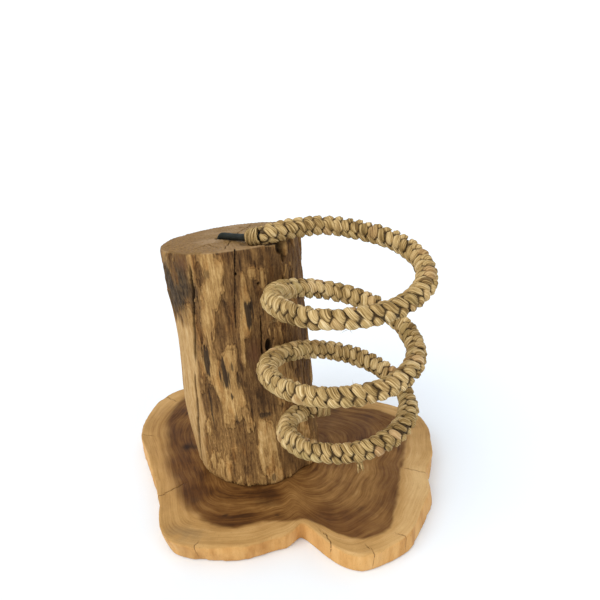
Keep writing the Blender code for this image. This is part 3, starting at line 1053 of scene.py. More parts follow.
# skin: golden (+) or bare (-) areas: angle, share of height, half sizes, weight
LOG_AREAS = (
    (262, 0.955, 13, 0.045, 0.36),
    (265, 0.88, 9.0, 0.06, 0.40),
    (259, 0.78, 6.5, 0.07, 0.32),
    (254, 0.69, 5.0, 0.05, 0.26),
    (249, 0.86, 4.0, 0.05, 0.25),
    (256, 0.915, 5.0, 0.035, -0.40),
    (251, 0.82, 4.0, 0.05, -0.18),
    (281, 0.92, 4.6, 0.09, -0.45),
    (276, 0.80, 5.5, 0.08, -0.45),
    (270, 0.70, 6.5, 0.06, -0.40),
    (286.8, 0.85, 2.4, 0.05, 0.42),
    (285.2, 0.75, 2.0, 0.06, 0.40),
    (296, 0.91, 3.0, 0.028, 0.42),
    (303, 0.875, 4.0, 0.035, 0.40),
    (297, 0.965, 9.0, 0.03, -0.40),
    (314, 0.90, 6.0, 0.08, -0.35),
    (224, 0.955, 12, 0.02, 0.10),
    (240, 0.965, 6, 0.03, -0.30),
    (224, 0.86, 17, 0.07, -0.28),
    (222, 0.75, 12, 0.04, 0.10),
    (252, 0.53, 3.2, 0.08, 0.36),
    (265, 0.41, 9.0, 0.045, 0.30),
    (263, 0.35, 5.5, 0.035, 0.28),
    (247, 0.35, 5.5, 0.07, -0.45),
    (260, 0.15, 17, 0.09, -0.34),
    (291, 0.27, 5.0, 0.07, 0.42),
    (284, 0.12, 1.6, 0.05, 0.5),
    (292.5, 0.36, 6.5, 0.05, -0.55),
    (313, 0.17, 11, 0.13, -0.5),
    (251.5, 0.05, 1.2, 0.045, 0.5),
    (290, 0.58, 6.0, 0.05, -0.36),
    (281, 0.60, 1.5, 0.06, 0.3),
    (299, 0.53, 1.6, 0.04, 0.3),
    (270, 0.60, 4.0, 0.05, 0.12),
)
# near-black weather streaks: angle, share of height, half sizes, strength
LOG_DARKS = (
    (246.0, 0.555, 3.2, 0.056, 1.0),
    (262.0, 0.50, 4.0, 0.064, 1.0),
    (265.5, 0.405, 1.8, 0.016, 0.9),
    (289.0, 0.745, 3.8, 0.060, 1.0),
    (269.5, 0.535, 1.6, 0.03, 0.8),
    (273.0, 0.47, 1.8, 0.03, 0.55),
    (266.0, 0.30, 1.5, 0.04, 0.6),
    (241.5, 0.33, 0.9, 0.070, 0.9),
    (261.0, 0.915, 2.6, 0.020, 0.45),
    (292.0, 0.032, 3.0, 0.016, 0.7),
    (292.0, 0.312, 5.0, 0.012, 0.8),
    (40.0, 0.6, 2.5, 0.08, 0.9),
    (110.0, 0.75, 2.0, 0.07, 0.9),
    (165.0, 0.35, 2.2, 0.09, 0.9),
    (5.0, 0.3, 2.0, 0.06, 0.8),
)
# pits and hollows: angle, share of height, half sizes, depth; the two at 322 and 324 degrees are hollows under
# the rope where it leaves the rim, and their near-black colour is painted shadow of the rope
LOG_PITS_AND_ROPE_SHADE = (
    (283.3, 0.906, 1.3, 0.008, 4.0),
    (323.0, 0.847, 1.2, 0.010, 4.0),
    (300.1, 0.857, 1.1, 0.009, 3.5),
    (322.0, 0.985, 5.5, 0.030, 8.0),
    (324.0, 0.945, 2.2, 0.030, 6.0),
    (303.0, 0.60, 3.2, 0.030, 5.0),
    (70.0, 0.42, 3.0, 0.025, 5.0),
    (125.0, 0.88, 2.0, 0.015, 4.0),
)
SAP_EDGE = (
    (0.0, 223.0),
    (0.03, 224.5),
    (0.21, 229.8),
    (0.29, 234.7),
    (0.43, 231.0),
    (0.59, 236.1),
    (0.67, 236.7),
    (0.75, 233.0),
)


def log_fields(angle, share):
    """Relief in mm (never outward by more than a hair) and material values of the side."""
    angle, share = np.broadcast_arrays(np.asarray(angle, float), np.asarray(share, float))
    turns = (angle % 360.0) / 360.0
    z = share * 196.0
    drift = 1.3 * (fbm(turns * 10.0, z / 60.0, 41, 3, 10) - 0.5)
    flakes = fbm(turns * 22.0 + drift * 0.35, z / 46.0 + drift, 3, 5, 0)
    seam = np.minimum(angle % 360.0, 360.0 - angle % 360.0)
    other = fbm((turns + 0.5) % 1.0 * 22.0 + drift * 0.35, z / 46.0 + drift, 61, 5, 0)
    flakes = flakes * step(0.0, 14.0, seam) + other * (1 - step(0.0, 14.0, seam))
    area = np.zeros(angle.shape)
    for a, t, wa, wt, weight in LOG_AREAS:
        far = (turn(angle, a) / wa) ** 2 + ((share - t) / wt) ** 2
        area = area + weight * np.exp(-0.5 * far * far * 0.55)
    small = fbm(turns * 64.0, z / 15.0, 8, 4, 64)
    crumb = fbm(turns * 170.0, z / 8.0, 67, 3, 170)
    field = 0.5 + 0.72 * (flakes - 0.5) + 0.76 * area + 0.24 * (small - 0.5) + 0.12 * (crumb - 0.5)
    skin = step(0.505, 0.525, field)
    thick_skin = step(0.60, 0.62, field)
    bare = step(0.44, 0.42, field)
    # painted light on the flakes' edges: a pale line along each edge as a highlight, and a dark line just inside
    # it as a shadow
    rim_lit = np.exp(-(((field - 0.534) / 0.010) ** 2)) + 0.7 * np.exp(-(((field - 0.626) / 0.010) ** 2))
    flake_edge_painted_shadow = np.exp(-(((field - 0.496) / 0.009) ** 2)) + 0.7 * np.exp(-(((field - 0.592) / 0.009) ** 2))
    fibre = noise(turns * 300.0, z / 24.0, 69, 300) - 0.5
    tone = 0.43 + 0.10 * (flakes - 0.5) + 0.22 * (small - 0.5) + 0.18 * (crumb - 0.5)
    tone = tone + 0.10 * fibre
    tone = tone + 0.10 * step(0.42, 0.22, share) - 0.02 * step(0.3, 0.5, share) * step(0.7, 0.6, share)
    tone = tone + 0.19 * np.maximum(area, 0.0) + 0.10 * np.minimum(area, 0.0)
    tone = tone + 0.085 * skin + 0.065 * thick_skin - 0.04 * bare + 0.07 * rim_lit - 0.15 * flake_edge_painted_shadow
    hairline = noise(turns * 420.0, z / 13.0, 57, 420)
    tone = tone - 0.15 * step(0.80, 0.97, hairline)
    # lifted edges of thin flakes, mostly on the lower half: raised a little in the relief, and made pale as a
    # painted highlight where light catches them
    scale = fbm(turns * 34.0, z / 17.0 + 0.8 * drift, 97, 3, 34)
    lifted_edge_highlight = np.exp(-(((scale - 0.5) / 0.011) ** 2)) * step(0.35, 0.6, small)
    tone = tone + 0.16 * lifted_edge_highlight * (0.35 + 0.65 * step(0.6, 0.35, share))
    edge_t, edge_a = np.array(SAP_EDGE).T
    edge = np.interp(share, edge_t, edge_a)
    ragged = 5.0 * (fbm(turns * 60.0, z / 30.0, 15, 3, 60) - 0.5)
    sap = step(1.2, -1.2, turn(angle, 0) % 360 - edge + ragged)
    sap = sap * step(178.0, 190.0, angle % 360.0 + ragged)
    sap = sap * step(0.72, 0.66, share + 0.02 * ragged)
    dark = np.zeros(angle.shape)
    wisp = fbm(turns * 150.0, z / 16.0, 19, 4, 150) - 0.5
    fray = noise(turns * 360.0, z / 26.0, 63, 360) - 0.5
    fray = fray + 0.6 * (noise(turns * 210.0, z / 9.0, 65, 210) - 0.5)
    for a, t, wa, wt, strength in LOG_DARKS:
        far = np.sqrt((turn(angle, a) / wa) ** 2 + ((share - t) / wt) ** 2)
        dark = np.maximum(dark, strength * step(1.15, 0.80, far + 1.1 * wisp + 0.75 * fray))
    crack = np.zeros(angle.shape)
    deep = np.zeros(angle.shape)
    for way, half, depth in LOG_CRACKS:
        t, a = np.array(sorted(way)).T
        centre = np.interp(share, t, a) + 0.5 * (noise(z / 7.0, 0 * z, 23) - 0.5)
        off = np.abs(turn(angle, 0) % 360 - centre % 360) * math.pi / 180.0 * 54.0
        ends = step(t[0] - 0.03, t[0] + 0.03, share) if t[0] > 0.03 else 1.0
        ends = ends * (step(t[-1] + 0.03, t[-1] - 0.04, share) if t[-1] < 0.97 else 1.0)
        wide = half * (0.6 + 0.8 * noise(z / 11.0, 0 * z + 5, 29)) * (0.3 + 0.7 * ends)
        inside = step(1.0, 0.70, off / wide) * (ends > 0.02)
        deep = np.maximum(deep, depth * inside * ends)
        crack = np.maximum(crack, inside * ends)
        # lips of a crack curl in a little
        deep = np.maximum(deep, 0.5 * step(5.0, 0.0, off) * ends)
    for a, t, wa, wt, depth in LOG_PITS_AND_ROPE_SHADE:
        far = np.sqrt((turn(angle, a) / wa) ** 2 + ((share - t) / wt) ** 2)
        inside = step(1.1, 0.55, far + 0.4 * wisp)
        deep = np.maximum(deep, depth * inside)
        # pits take the near-black crack colour; under the rope this paints the rope's shadow
        crack = np.maximum(crack, 0.9 * inside)
    grey = 1.9 * np.exp(-(((turn(angle, 223.0)) / 19.0) ** 2 + ((share - 0.855) / 0.090) ** 2))
    grey = grey + 0.8 * np.exp(-((turn(angle, 208.0) / 9.0) ** 2 + ((share - 0.78) / 0.06) ** 2))
    grey = grey + 0.8 * np.exp(-((turn(angle, 75.0) / 22.0) ** 2 + ((share - 0.7) / 0.16) ** 2))
    grey = np.clip(grey, 0, 1) * step(0.24, 0.46, fbm(turns * 40.0, z / 22.0, 37, 4, 40))
    red = np.exp(-((turn(angle, 290.0) / 6.0) ** 2 + ((share - 0.575) / 0.05) ** 2))
    red = red + np.exp(-((turn(angle, 238.0) / 8.0) ** 2 + ((share - 0.955) / 0.03) ** 2))
    red = red + 0.6 * np.exp(-((turn(angle, 130.0) / 15.0) ** 2 + ((share - 0.5) / 0.1) ** 2))
    grain = noise(turns * 190.0, z / 34.0, 51, 190) - 0.5
    grain = 0.42 * grain + 0.22 * (noise(turns * 330.0, z / 16.0, 53, 330) - 0.5)
    lumps = fbm(turns * 7.0, z / 55.0, 71, 3, 7) - 0.5
    layer = -1.0 * (1 - skin) * (1 - sap) - 0.2 * sap
    layer = layer - 0.5 * step(0.60, 0.66, 1 - field) * (1 - sap)
    layer = layer - 0.3 * step(0.80, 0.97, hairline) + 0.25 * lifted_edge_highlight
    relief = layer + grain + 1.1 * lumps + 0.15 - deep - 0.4 * dark
    relief = np.minimum(relief, 0.45)
    return relief, {
        "tone": tone,
        "stain_and_rim_shade": np.zeros(angle.shape),
        "sap": sap,
        "dark": dark,
        "crack": crack,
        "grey": grey * (1 - sap),
        "red": np.clip(red, 0, 1),
    }


def laid_depth(x, y):
    """How far the log's top is cut away under the rope and the bare rod, in mm."""
    depth = np.zeros(np.shape(x))
    for first, last, radius in (
        (ROPE_START - 1.2, ROPE_START + 72.0, 8.7),
        (38.0, ROPE_START, 3.3),
    ):
        way, *_frames = along_route(np.arange(first, last, 0.6))
        for p in way:
            away = np.hypot(x - p[0], y - p[1])
            under = p[2] - np.sqrt(np.maximum(radius**2 - away**2, 0.0))
            cut = np.where(away < radius, log_top_height(x, y) - under, 0.0)
            depth = np.maximum(depth, cut)
    leg = np.hypot(x - LEG_BOTTOM[0], y - LEG_BOTTOM[1])
    return np.maximum(depth, 9.0 * step(4.0, 3.2, leg))


# drying checks on the sawn top: from x, y to x, y, half width, depth
TOP_CHECKS = (
    (-36.0, 14.0, -60.0, -22.0, 0.62, 1.7),
    (-34.0, 10.0, -30.0, -30.0, 0.40, 1.2),
    (-40.0, 20.0, -88.0, 30.0, 0.60, 1.7),
    (-34.0, 22.0, -28.0, 66.0, 0.55, 1.7),
    (-34.0, 22.0, 8.0, 46.0, 0.5, 1.5),
    (-52.0, -2.0, -34.0, -24.0, 0.50, 1.2),
    (-62.0, 18.0, -78.0, -4.0, 0.45, 1.2),
)
TOP_DOTS = ((-36.0, 58.0, 1.6), (-84.0, 6.0, 1.6), (-56.0, 6.0, 1.1), (-12.0, 44.0, 0.9), (-66.0, 30.0, 0.9))


def top_fields(x, y):
    crack = np.zeros(np.shape(x))
    deep = np.zeros(np.shape(x))
    for x0, y0, x1, y1, half, depth in TOP_CHECKS:
        dx, dy = x1 - x0, y1 - y0
        length = math.hypot(dx, dy)
        along = ((x - x0) * dx + (y - y0) * dy) / length
        off = ((x - x0) * -dy + (y - y0) * dx) / length
        off = off + 1.6 * (noise(along / 6.0, 0 * along + x0, 47) - 0.5)
        ends = step(2.0, 8.0, along) * step(length + 1.0, length - 6.0, along)
        inside = step(1.0, 0.2, np.abs(off) / half) * ends
        crack = np.maximum(crack, 0.9 * inside)
        deep = np.maximum(deep, depth * inside)
    for px, py, r in TOP_DOTS:
        inside = step(1.1, 0.6, np.hypot(x - px, y - py) / r)
        crack = np.maximum(crack, inside)
        deep = np.maximum(deep, 1.5 * inside)
    return deep, crack


def build_log(made_of):
    column = np.arange(0.0, 360.0, 0.4)
    count = len(column)
    shares = np.concatenate(
        [
            [0.0, 0.004, 0.010, 0.018],
            np.linspace(0.026, 0.975, 250),
            [0.980, 0.985, 0.989, 0.992, 0.995, 0.998],
        ]
    )
    rows, values = [], {}
    for t in shares:
        relief, marks = log_fields(column, np.full(count, t))
        cx = LOG_FOOT[0] + (LOG_TOP[0] - LOG_FOOT[0]) * t
        cy = LOG_FOOT[1] + (LOG_TOP[1] - LOG_FOOT[1]) * t
        a = np.radians(column)
        base = LOG_FOOT_RADIUS + (LOG_TOP_RADIUS - LOG_FOOT_RADIUS) * t**3
        base = base + 0.5 * np.cos(2 * a + 0.6) + 0.4 * np.cos(5 * a + 2.0 * t)
        for centre, rise, wide, share, tall in LOG_SWELLS:
            swell = bumps(column, ((centre, rise, wide),))
            base = base + swell * math.exp(-(((t - share) / tall) ** 2))
        ragged = noise(column / 360.0 * 60.0, 0 * column + 3, 33, 60)
        foot = (0.5 + 1.4 * ragged) * max(0.0, 1.0 - t / 0.018) ** 1.5
        rim = (0.4 + 1.1 * ragged) * max(0.0, (t - 0.978) / 0.02) ** 2
        r = base + relief - foot - rim
        x, y = cx + r * np.cos(a), cy + r * np.sin(a)
        flat = LOG_FOOT_Z + (LOG_TOP[2] - LOG_FOOT_Z) * t
        z = flat + (log_top_height(x, y) - LOG_TOP[2]) * t
        # the rope's trough runs out through the rim
        if t > 0.9:
            drop = laid_depth(x, y)
            z = z - drop * step(0.9, 0.998, t)
        rows.append(np.stack([x, y, z], axis=1))
        marks["top"] = np.full(count, float(step(0.992, 0.997, t)))
        place = np.stack([r * np.cos(a), r * np.sin(a), z], axis=1)
        marks["grain_place"] = place
        for key, v in marks.items():
            values.setdefault(key, []).append(v)
    # sawn top, ring by ring to the middle
    rim_xy = rows[-1][:, :2]
    middle = np.array(LOG_TOP[:2])
    for share in np.concatenate(
        [[0.985, 0.97], np.linspace(0.95, 0.10, 56), [0.06, 0.02]]
    ):
        xy = middle + (rim_xy - middle) * share
        x, y = xy.T
        deep, crack = top_fields(x, y)
        saw = 0.10 * np.sin((x * 0.94 + y * 0.34) * 2.1) + 0.35 * (
            fbm(x / 9.0, y / 9.0, 83, 3) - 0.5
        )
        hollow = laid_depth(x, y)
        z = log_top_height(x, y) + saw * (hollow < 0.2) - np.maximum(hollow, deep) - 0.1
        rows.append(np.stack([x, y, z], axis=1))
        zero = np.zeros(count)
        toward = np.degrees(np.arctan2(y - middle[1], x - middle[0])) % 360.0
        blot = 0.5 * (fbm(x / 11.0, y / 11.0, 7, 4) - 0.5) + 0.2 * (fbm(x / 3.0, y / 3.0, 9, 3) - 0.5)
        stain_and_rim_shade = step(0.18, 0.66, share + blot)
        stain_and_rim_shade = 0.88 * stain_and_rim_shade * np.exp(-0.5 * (turn(toward, 215.0) / 62.0) ** 2)
        # a darker band round the rim: partly a worn edge, partly painted shade on the eased rim
        stain_and_rim_shade = np.maximum(stain_and_rim_shade, 0.4 * step(0.94, 1.0, share + 0.35 * blot))
        marks = {
            "tone": zero + 0.5,
            "stain_and_rim_shade": stain_and_rim_shade,
            "sap": zero,
            "dark": zero,
            # the trough under the rope and the bare rod, and the rod's hole, are painted half dark as shade
            "crack": np.maximum(crack, 0.5 * step(1.5, 5.0, hollow)),
            "grey": zero,
            "red": zero,
            "top": np.ones(count),
            "grain_place": rows[-1],
        }
        for key, v in marks.items():
            values[key].append(v)
    points = np.concatenate(rows)
    quads = grid_faces(len(rows), count)
    tip, foot = len(points), len(points) + 1
    ends = [
        [LOG_TOP[0], LOG_TOP[1], LOG_TOP[2] - 0.1],
        [LOG_FOOT[0], LOG_FOOT[1], LOG_FOOT_Z],
    ]
    points = np.concatenate([points, ends])
    values = {k: np.concatenate([*v, v[-1][:1], v[0][:1]]) for k, v in values.items()}
    about = points[:, :2] - np.array([-34.0, 22.0])
    ring = np.hypot(about[:, 0], about[:, 1])
    turned = np.arctan2(about[:, 1], about[:, 0])
    values["ring_place"] = np.stack(
        [ring * 0.42, np.cos(turned) * 1.8, np.sin(turned) * 1.8], axis=1
    )
    faces = [
        quads,
        fan((len(rows) - 1) * count + np.arange(count), tip),
        fan(np.arange(count)[::-1], foot),
    ]
    return make_object(
        "log_post_wood",
        points,
        faces,
        made_of,
        values,
        slot="log_wood",
        stands_for=("log_post",),
    )


# ------------------------------------------------------------------ rod, rope, bindings
def build_rod(made_of):
    wanted = np.concatenate(
        [np.arange(0.0, ROPE_START + 14.0, 0.8), np.arange(ROPE_START + 14.0, ROPE_END, 4.0)]
    )
    points, tangents, _out, _up = along_route(wanted)
    side = np.cross(tangents[0], (0.3, 1.0, 0.2))
    sides = []
    for t in tangents:
        side = side - t * np.dot(side, t)
        side = side / np.linalg.norm(side)
        sides.append(side)
    sides = np.array(sides)
    ups = np.cross(tangents, sides)
    count, n = len(points), 24
    a = 2 * math.pi * np.arange(n) / n
    hammer = 0.28 * (fbm(np.arange(n)[None, :] / 24.0 * 6.0, wanted[:, None] / 7.0, 91, 3, 6) - 0.5)
    r = ROD_RADIUS - 0.12 + hammer
    rings = (
        points[:, None, :]
        + (r * np.cos(a))[:, :, None] * sides[:, None, :]
        + (r * np.sin(a))[:, :, None] * ups[:, None, :]
    )
    verts = np.concatenate([rings.reshape(-1, 3), points[:1], points[-1:]])
    faces = [
        grid_faces(count, n),
        fan(np.arange(n)[::-1], count * n),
        fan((count - 1) * n + np.arange(n), count * n + 1),
    ]
    return make_object(
        "core_rod_iron",
        verts,
        faces,
        made_of,
        slot="rod_iron",
        stands_for=("core_rod",),
    )


STRANDS = 4
TIERS = ((0.0, 7.7), (640.0, 7.7), (800.0, 6.7), (1200.0, 6.7))  # rope length of one lobe
TILT = -0.45


def build_rope(made_of):
    """Four fat seagrass strands crowned round the rod: each rises in a puffy lobe and
    dives under the next."""
    rng = np.random.default_rng(11)
    first = ROPE_START + UPPER_BINDING_LENGTH + BINDING_GAP
    last = ROPE_END - LOWER_BINDING_LENGTH - BINDING_GAP
    bundle = Bundle()
    sides = 26
    s = np.arange(first, last, 0.6)
    points, _tangents, out, up = along_route(s)
    tier = np.interp(s, [a for a, _b in TIERS], [b for _a, b in TIERS])
    phase = np.concatenate([[0.0], np.cumsum(0.6 / (0.5 * (tier[1:] + tier[:-1])))])
    for k in range(STRANDS):
        lobe = np.floor(phase + 0.5).astype(int)
        jitter = rng.normal(0, 1, (6, lobe.max() + 2))
        # lobe numbers differ from strand to strand
        skew = 0.09 * np.interp(phase, np.arange(lobe.max() + 2), jitter[0])
        psi = phase + skew
        # a lobe rises steeply at its lower end and sinks slowly at its upper end
        lean = psi - 0.085 * np.cos(2 * math.pi * psi)
        lift = (0.5 + 0.5 * np.cos(2 * math.pi * lean)) ** 0.6
        puff = 1.0 + 0.12 * np.clip(jitter[1][lobe], -1.6, 1.6)
        # strands cross the rope steeply on their crests
        alpha = 2 * math.pi * (phase + 0.085 * np.sin(2 * math.pi * psi) + k) / STRANDS
        alpha = alpha + math.radians(-25.0) + 0.12 * np.interp(
            phase, np.arange(lobe.max() + 2), jitter[2]
        )
        radius = 4.3 + (1.2 + 0.16 * np.clip(jitter[3][lobe], -1.8, 0.9)) * lift
        outward = np.cos(alpha)[:, None] * out + np.sin(alpha)[:, None] * up
        centres = points + radius[:, None] * outward
        _t, normal, binormal = strand_frames(centres, outward)
        wide = (2.1 + 1.2 * lift) * puff * tier / 7.7
        thick = 0.75 + 1.45 * lift
        edge = np.minimum(step(first - 0.1, first + 2.0, s), step(last + 0.1, last - 2.0, s))
        wide, thick = wide * (0.35 + 0.65 * edge), thick * (0.35 + 0.65 * edge)
        verts, quads, ends = swept(centres, normal, binormal, wide, thick, sides, 2.05)
        # twisted bundles of blades: shallow grooves along each strand
        a = 2 * math.pi * np.arange(sides) / sides
        groove = 0.20 * np.sin(5 * a[None, :] + 0.35 * s[:, None] + k) * lift[:, None]
        groove = groove + 0.12 * np.sin(8 * a[None, :] - 0.2 * s[:, None])
        shape = verts[: len(s) * sides].reshape(len(s), sides, 3)
        away = shape - centres[:, None, :]
        away /= np.maximum(np.linalg.norm(away, axis=2), 1e-6)[:, :, None]
        shape = shape + groove[:, :, None] * away
        # one flank of a lobe rides up on its neighbour, the other is tucked under
        shape = shape + (TILT * np.cos(a)[None, :] * lift[:, None])[:, :, None] * normal[:, None, :]
        verts[: len(s) * sides] = shape.reshape(-1, 3)

        def spread(v):
            return np.concatenate([np.repeat(v, sides), v[:1], v[-1:]])

        tone = np.clip(0.5 + 0.14 * jitter[4][lobe], 0, 1)
        hue = np.clip(0.5 + 0.17 * jitter[5][lobe], 0, 1)
        length = np.concatenate(
            [[0.0], np.cumsum(np.linalg.norm(np.diff(centres, axis=0), axis=1))]
        )
        round_x = np.tile(np.cos(a) * 2.6, len(s))
        round_y = np.tile(np.sin(a) * 2.6, len(s))
        place = np.stack(
            [
                np.repeat(length, sides),
                round_x + 9.0 * np.repeat(lobe, sides),
                round_y + 31.0 * k,
            ],
            axis=1,
        )
        place = np.concatenate([place, place[:1], place[-1:]])
        # the crevices between lobes are painted dark by their depth, as shade
        off = np.linalg.norm(shape - points[:, None, :], axis=2).reshape(-1)
        shown = np.concatenate([np.clip((off - 5.0) / 2.5, 0, 1), [0.0, 0.0]])
        bundle.add(
            verts,
            quads,
            ends,
            tone=spread(tone),
            hue=spread(hue),
            lift=shown,
            strand_place=place,
        )
    # straw packing between the strands and the rod; its lift of 0.12 gives it the full painted crevice shade, so
    # it reads as shadow in the gaps
    core = np.arange(first + 0.6, last - 0.6, 1.6)
    points, _tangents, out, up = along_route(core)
    fat = 4.75 + 0.12 * np.sin(core * 0.7)
    self_add(bundle, points, out, up, fat, fat, 20, rng, 77, 0.12)
    return bundle.make(
        "rope_sheath_braid", made_of, slot="rope_braid", stands_for=("rope_sheath",)
    )


def build_binding(name, made_of, begin, end, node, seed, open_end, layers):
    """Fine twine wound round a rope end, turned in over the end's face."""
    rng = np.random.default_rng(seed)
    bundle = Bundle()
    length = abs(end - begin)
    gauge = 0.56
    turns = length / (2 * gauge) * 0.98
    for layer, (radius, lean) in enumerate(layers):
        steps = int(turns * 26)
        u = np.linspace(0.0, 1.0, steps)
        wander = np.interp(u, np.linspace(0, 1, 24), rng.normal(0, 0.22, 24))
        s = begin + (end - begin) * (gauge / length + u * (1 - 2 * gauge / length))
        s = s + wander * (u > 0.03) * (u < 0.97)
        alpha = lean * 2 * math.pi * turns * u + layer
        # a slanting lay, as the twine is drawn down on one side
        drawn = (0.3, 0.5, 0.7, 0.9)[layer] * step(0.0, 0.25, u) * step(1.0, 0.75, u)
        s = s + drawn * np.sin(alpha + 0.7) * np.sign(end - begin)
        r = radius + np.interp(u, np.linspace(0, 1, 40), rng.normal(0, 0.10, 40))
        points, _tangents, out, up = along_route(s)
        outward = np.cos(alpha)[:, None] * out + np.sin(alpha)[:, None] * up
        centres = points + r[:, None] * outward
        _t, normal, binormal = strand_frames(centres, outward)
        taper = np.minimum(step(0.0, 0.01, u), step(1.0, 0.99, u)) * 0.7 + 0.3
        fat = gauge * taper * (1 + 0.12 * np.interp(u, np.linspace(0, 1, 60), rng.normal(0, 1, 60)))
        self_add(bundle, centres, normal, binormal, fat * 1.12, fat, 9, rng, seed + layer, 0.55, 0.40)
    # the end's face, closed by a flat spiral
    at = begin if open_end == "begin" else end
    way = 1.0 if at == begin else -1.0
    steps = 90
    u = np.linspace(0.0, 1.0, steps)
    alpha = 2 * math.pi * 1.9 * u
    r = 4.0 + (layers[-1][0] - 4.0) * u
    s = at + way * np.sign(end - begin) * (0.55 + 0.25 * u)
    points, _tangents, out, up = along_route(s)
    outward = np.cos(alpha)[:, None] * out + np.sin(alpha)[:, None] * up
    centres = points + r[:, None] * outward
    _t, normal, binormal = strand_frames(centres, outward)
    fat = np.full(steps, gauge * 0.9)
    self_add(bundle, centres, normal, binormal, fat, fat, 9, rng, seed + 9, 0.5, 0.38)
    return bundle.make(name, made_of, slot="rope_twine", stands_for=(node,))


def self_add(bundle, centres, normal, binormal, wide, thick, sides, rng, seed, lift=0.75, base=0.45):
    verts, quads, ends = swept(centres, normal, binormal, wide, thick, sides, 2.0)
    count = len(centres)
    tone = np.clip(
        base + 0.2 * np.interp(np.arange(count), np.linspace(0, count, 30), rng.normal(0, 1, 30)), 0, 1
    )
    hue = np.clip(
        0.5 + 0.2 * np.interp(np.arange(count), np.linspace(0, count, 20), rng.normal(0, 1, 20)), 0, 1
    )
    length = np.concatenate(
        [[0.0], np.cumsum(np.linalg.norm(np.diff(centres, axis=0), axis=1))]
    )
    a = 2 * math.pi * np.arange(sides) / sides

    def spread(v):
        return np.concatenate([np.repeat(v, sides), v[:1], v[-1:]])

    place = np.stack(
        [
            np.repeat(length, sides),
            np.tile(np.cos(a) * 1.2, count) + 5.0 * seed,
            np.tile(np.sin(a) * 1.2, count),
        ],
        axis=1,
    )
    # lift sets how much painted crevice shade the strand takes in the rope material: full at 0.12, none from 0.6
    # up
    bundle.add(
        verts,
        quads,
        ends,
        tone=spread(tone),
        hue=spread(hue),
        lift=np.full(len(verts), lift),
        strand_place=np.concatenate([place, place[:1], place[-1:]]),
    )


def build_fibres(made_of):
    """Loose blade ends that stand off the braid, and one frayed tuft."""
    rng = np.random.default_rng(5)
    bundle = Bundle()
    first = ROPE_START + UPPER_BINDING_LENGTH + 4.0
    last = ROPE_END - LOWER_BINDING_LENGTH - 4.0

    def hair(s, alpha, length, lift, width, along, seed):
        steps = 9
        u = np.linspace(0.0, 1.0, steps)
        points, tangents, out, up = along_route(np.full(steps, s))
        outward = math.cos(alpha) * out + math.sin(alpha) * up
        tangential = -math.sin(alpha) * out + math.cos(alpha) * up
        bend = rng.normal(0, 0.25)
        centres = (
            points
            + outward * (6.6 + lift * u**1.4)[:, None]
            + tangents * (along * length * u)[:, None]
            + tangential * (length * math.sqrt(max(0.0, 1 - along**2)) * (u + bend * u * u))[:, None]
        )
        _t, normal, binormal = strand_frames(centres, outward)
        wide = width * (1.0 - 0.85 * u)
        self_add(bundle, centres, normal, binormal, wide, wide * 0.45, 6, rng, seed)

    for n in range(46):
        hair(
            rng.uniform(first, last),
            rng.uniform(0, 2 * math.pi),
            rng.uniform(2.5, 6.0),
            rng.uniform(0.8, 1.7),
            rng.uniform(0.14, 0.30),
            rng.uniform(-0.8, 0.8),
            n,
        )
    # the tuft under the lowest turn's front
    for n in range(10):
        hair(
            TUFT_AT + rng.normal(0, 0.9),
            math.radians(-66.0 + rng.normal(0, 6)),
            rng.uniform(1.0, 2.4),
            rng.uniform(5.2, 7.2),
            rng.uniform(0.8, 1.15),
            rng.uniform(-0.6, 0.6),
            200 + n,
        )
    # a long loose blade beside the first turn
    hair(LOOSE_AT, math.radians(-72.0), 9.0, 4.0, 0.6, 0.85, 300)
    hair(LOOSE_AT + 2.0, math.radians(-68.0), 6.0, 2.6, 0.45, 0.9, 301)
    return bundle.make("rope_loose_fibres", made_of, slot="rope_braid")


def length_at_angle(angle):
    p = coil_point(angle)
    return float(ROUTE_LENGTHS[np.argmin(np.linalg.norm(ROUTE - p, axis=1))])


TUFT_AT = length_at_angle(789.0)
LOOSE_AT = length_at_angle(139.0)


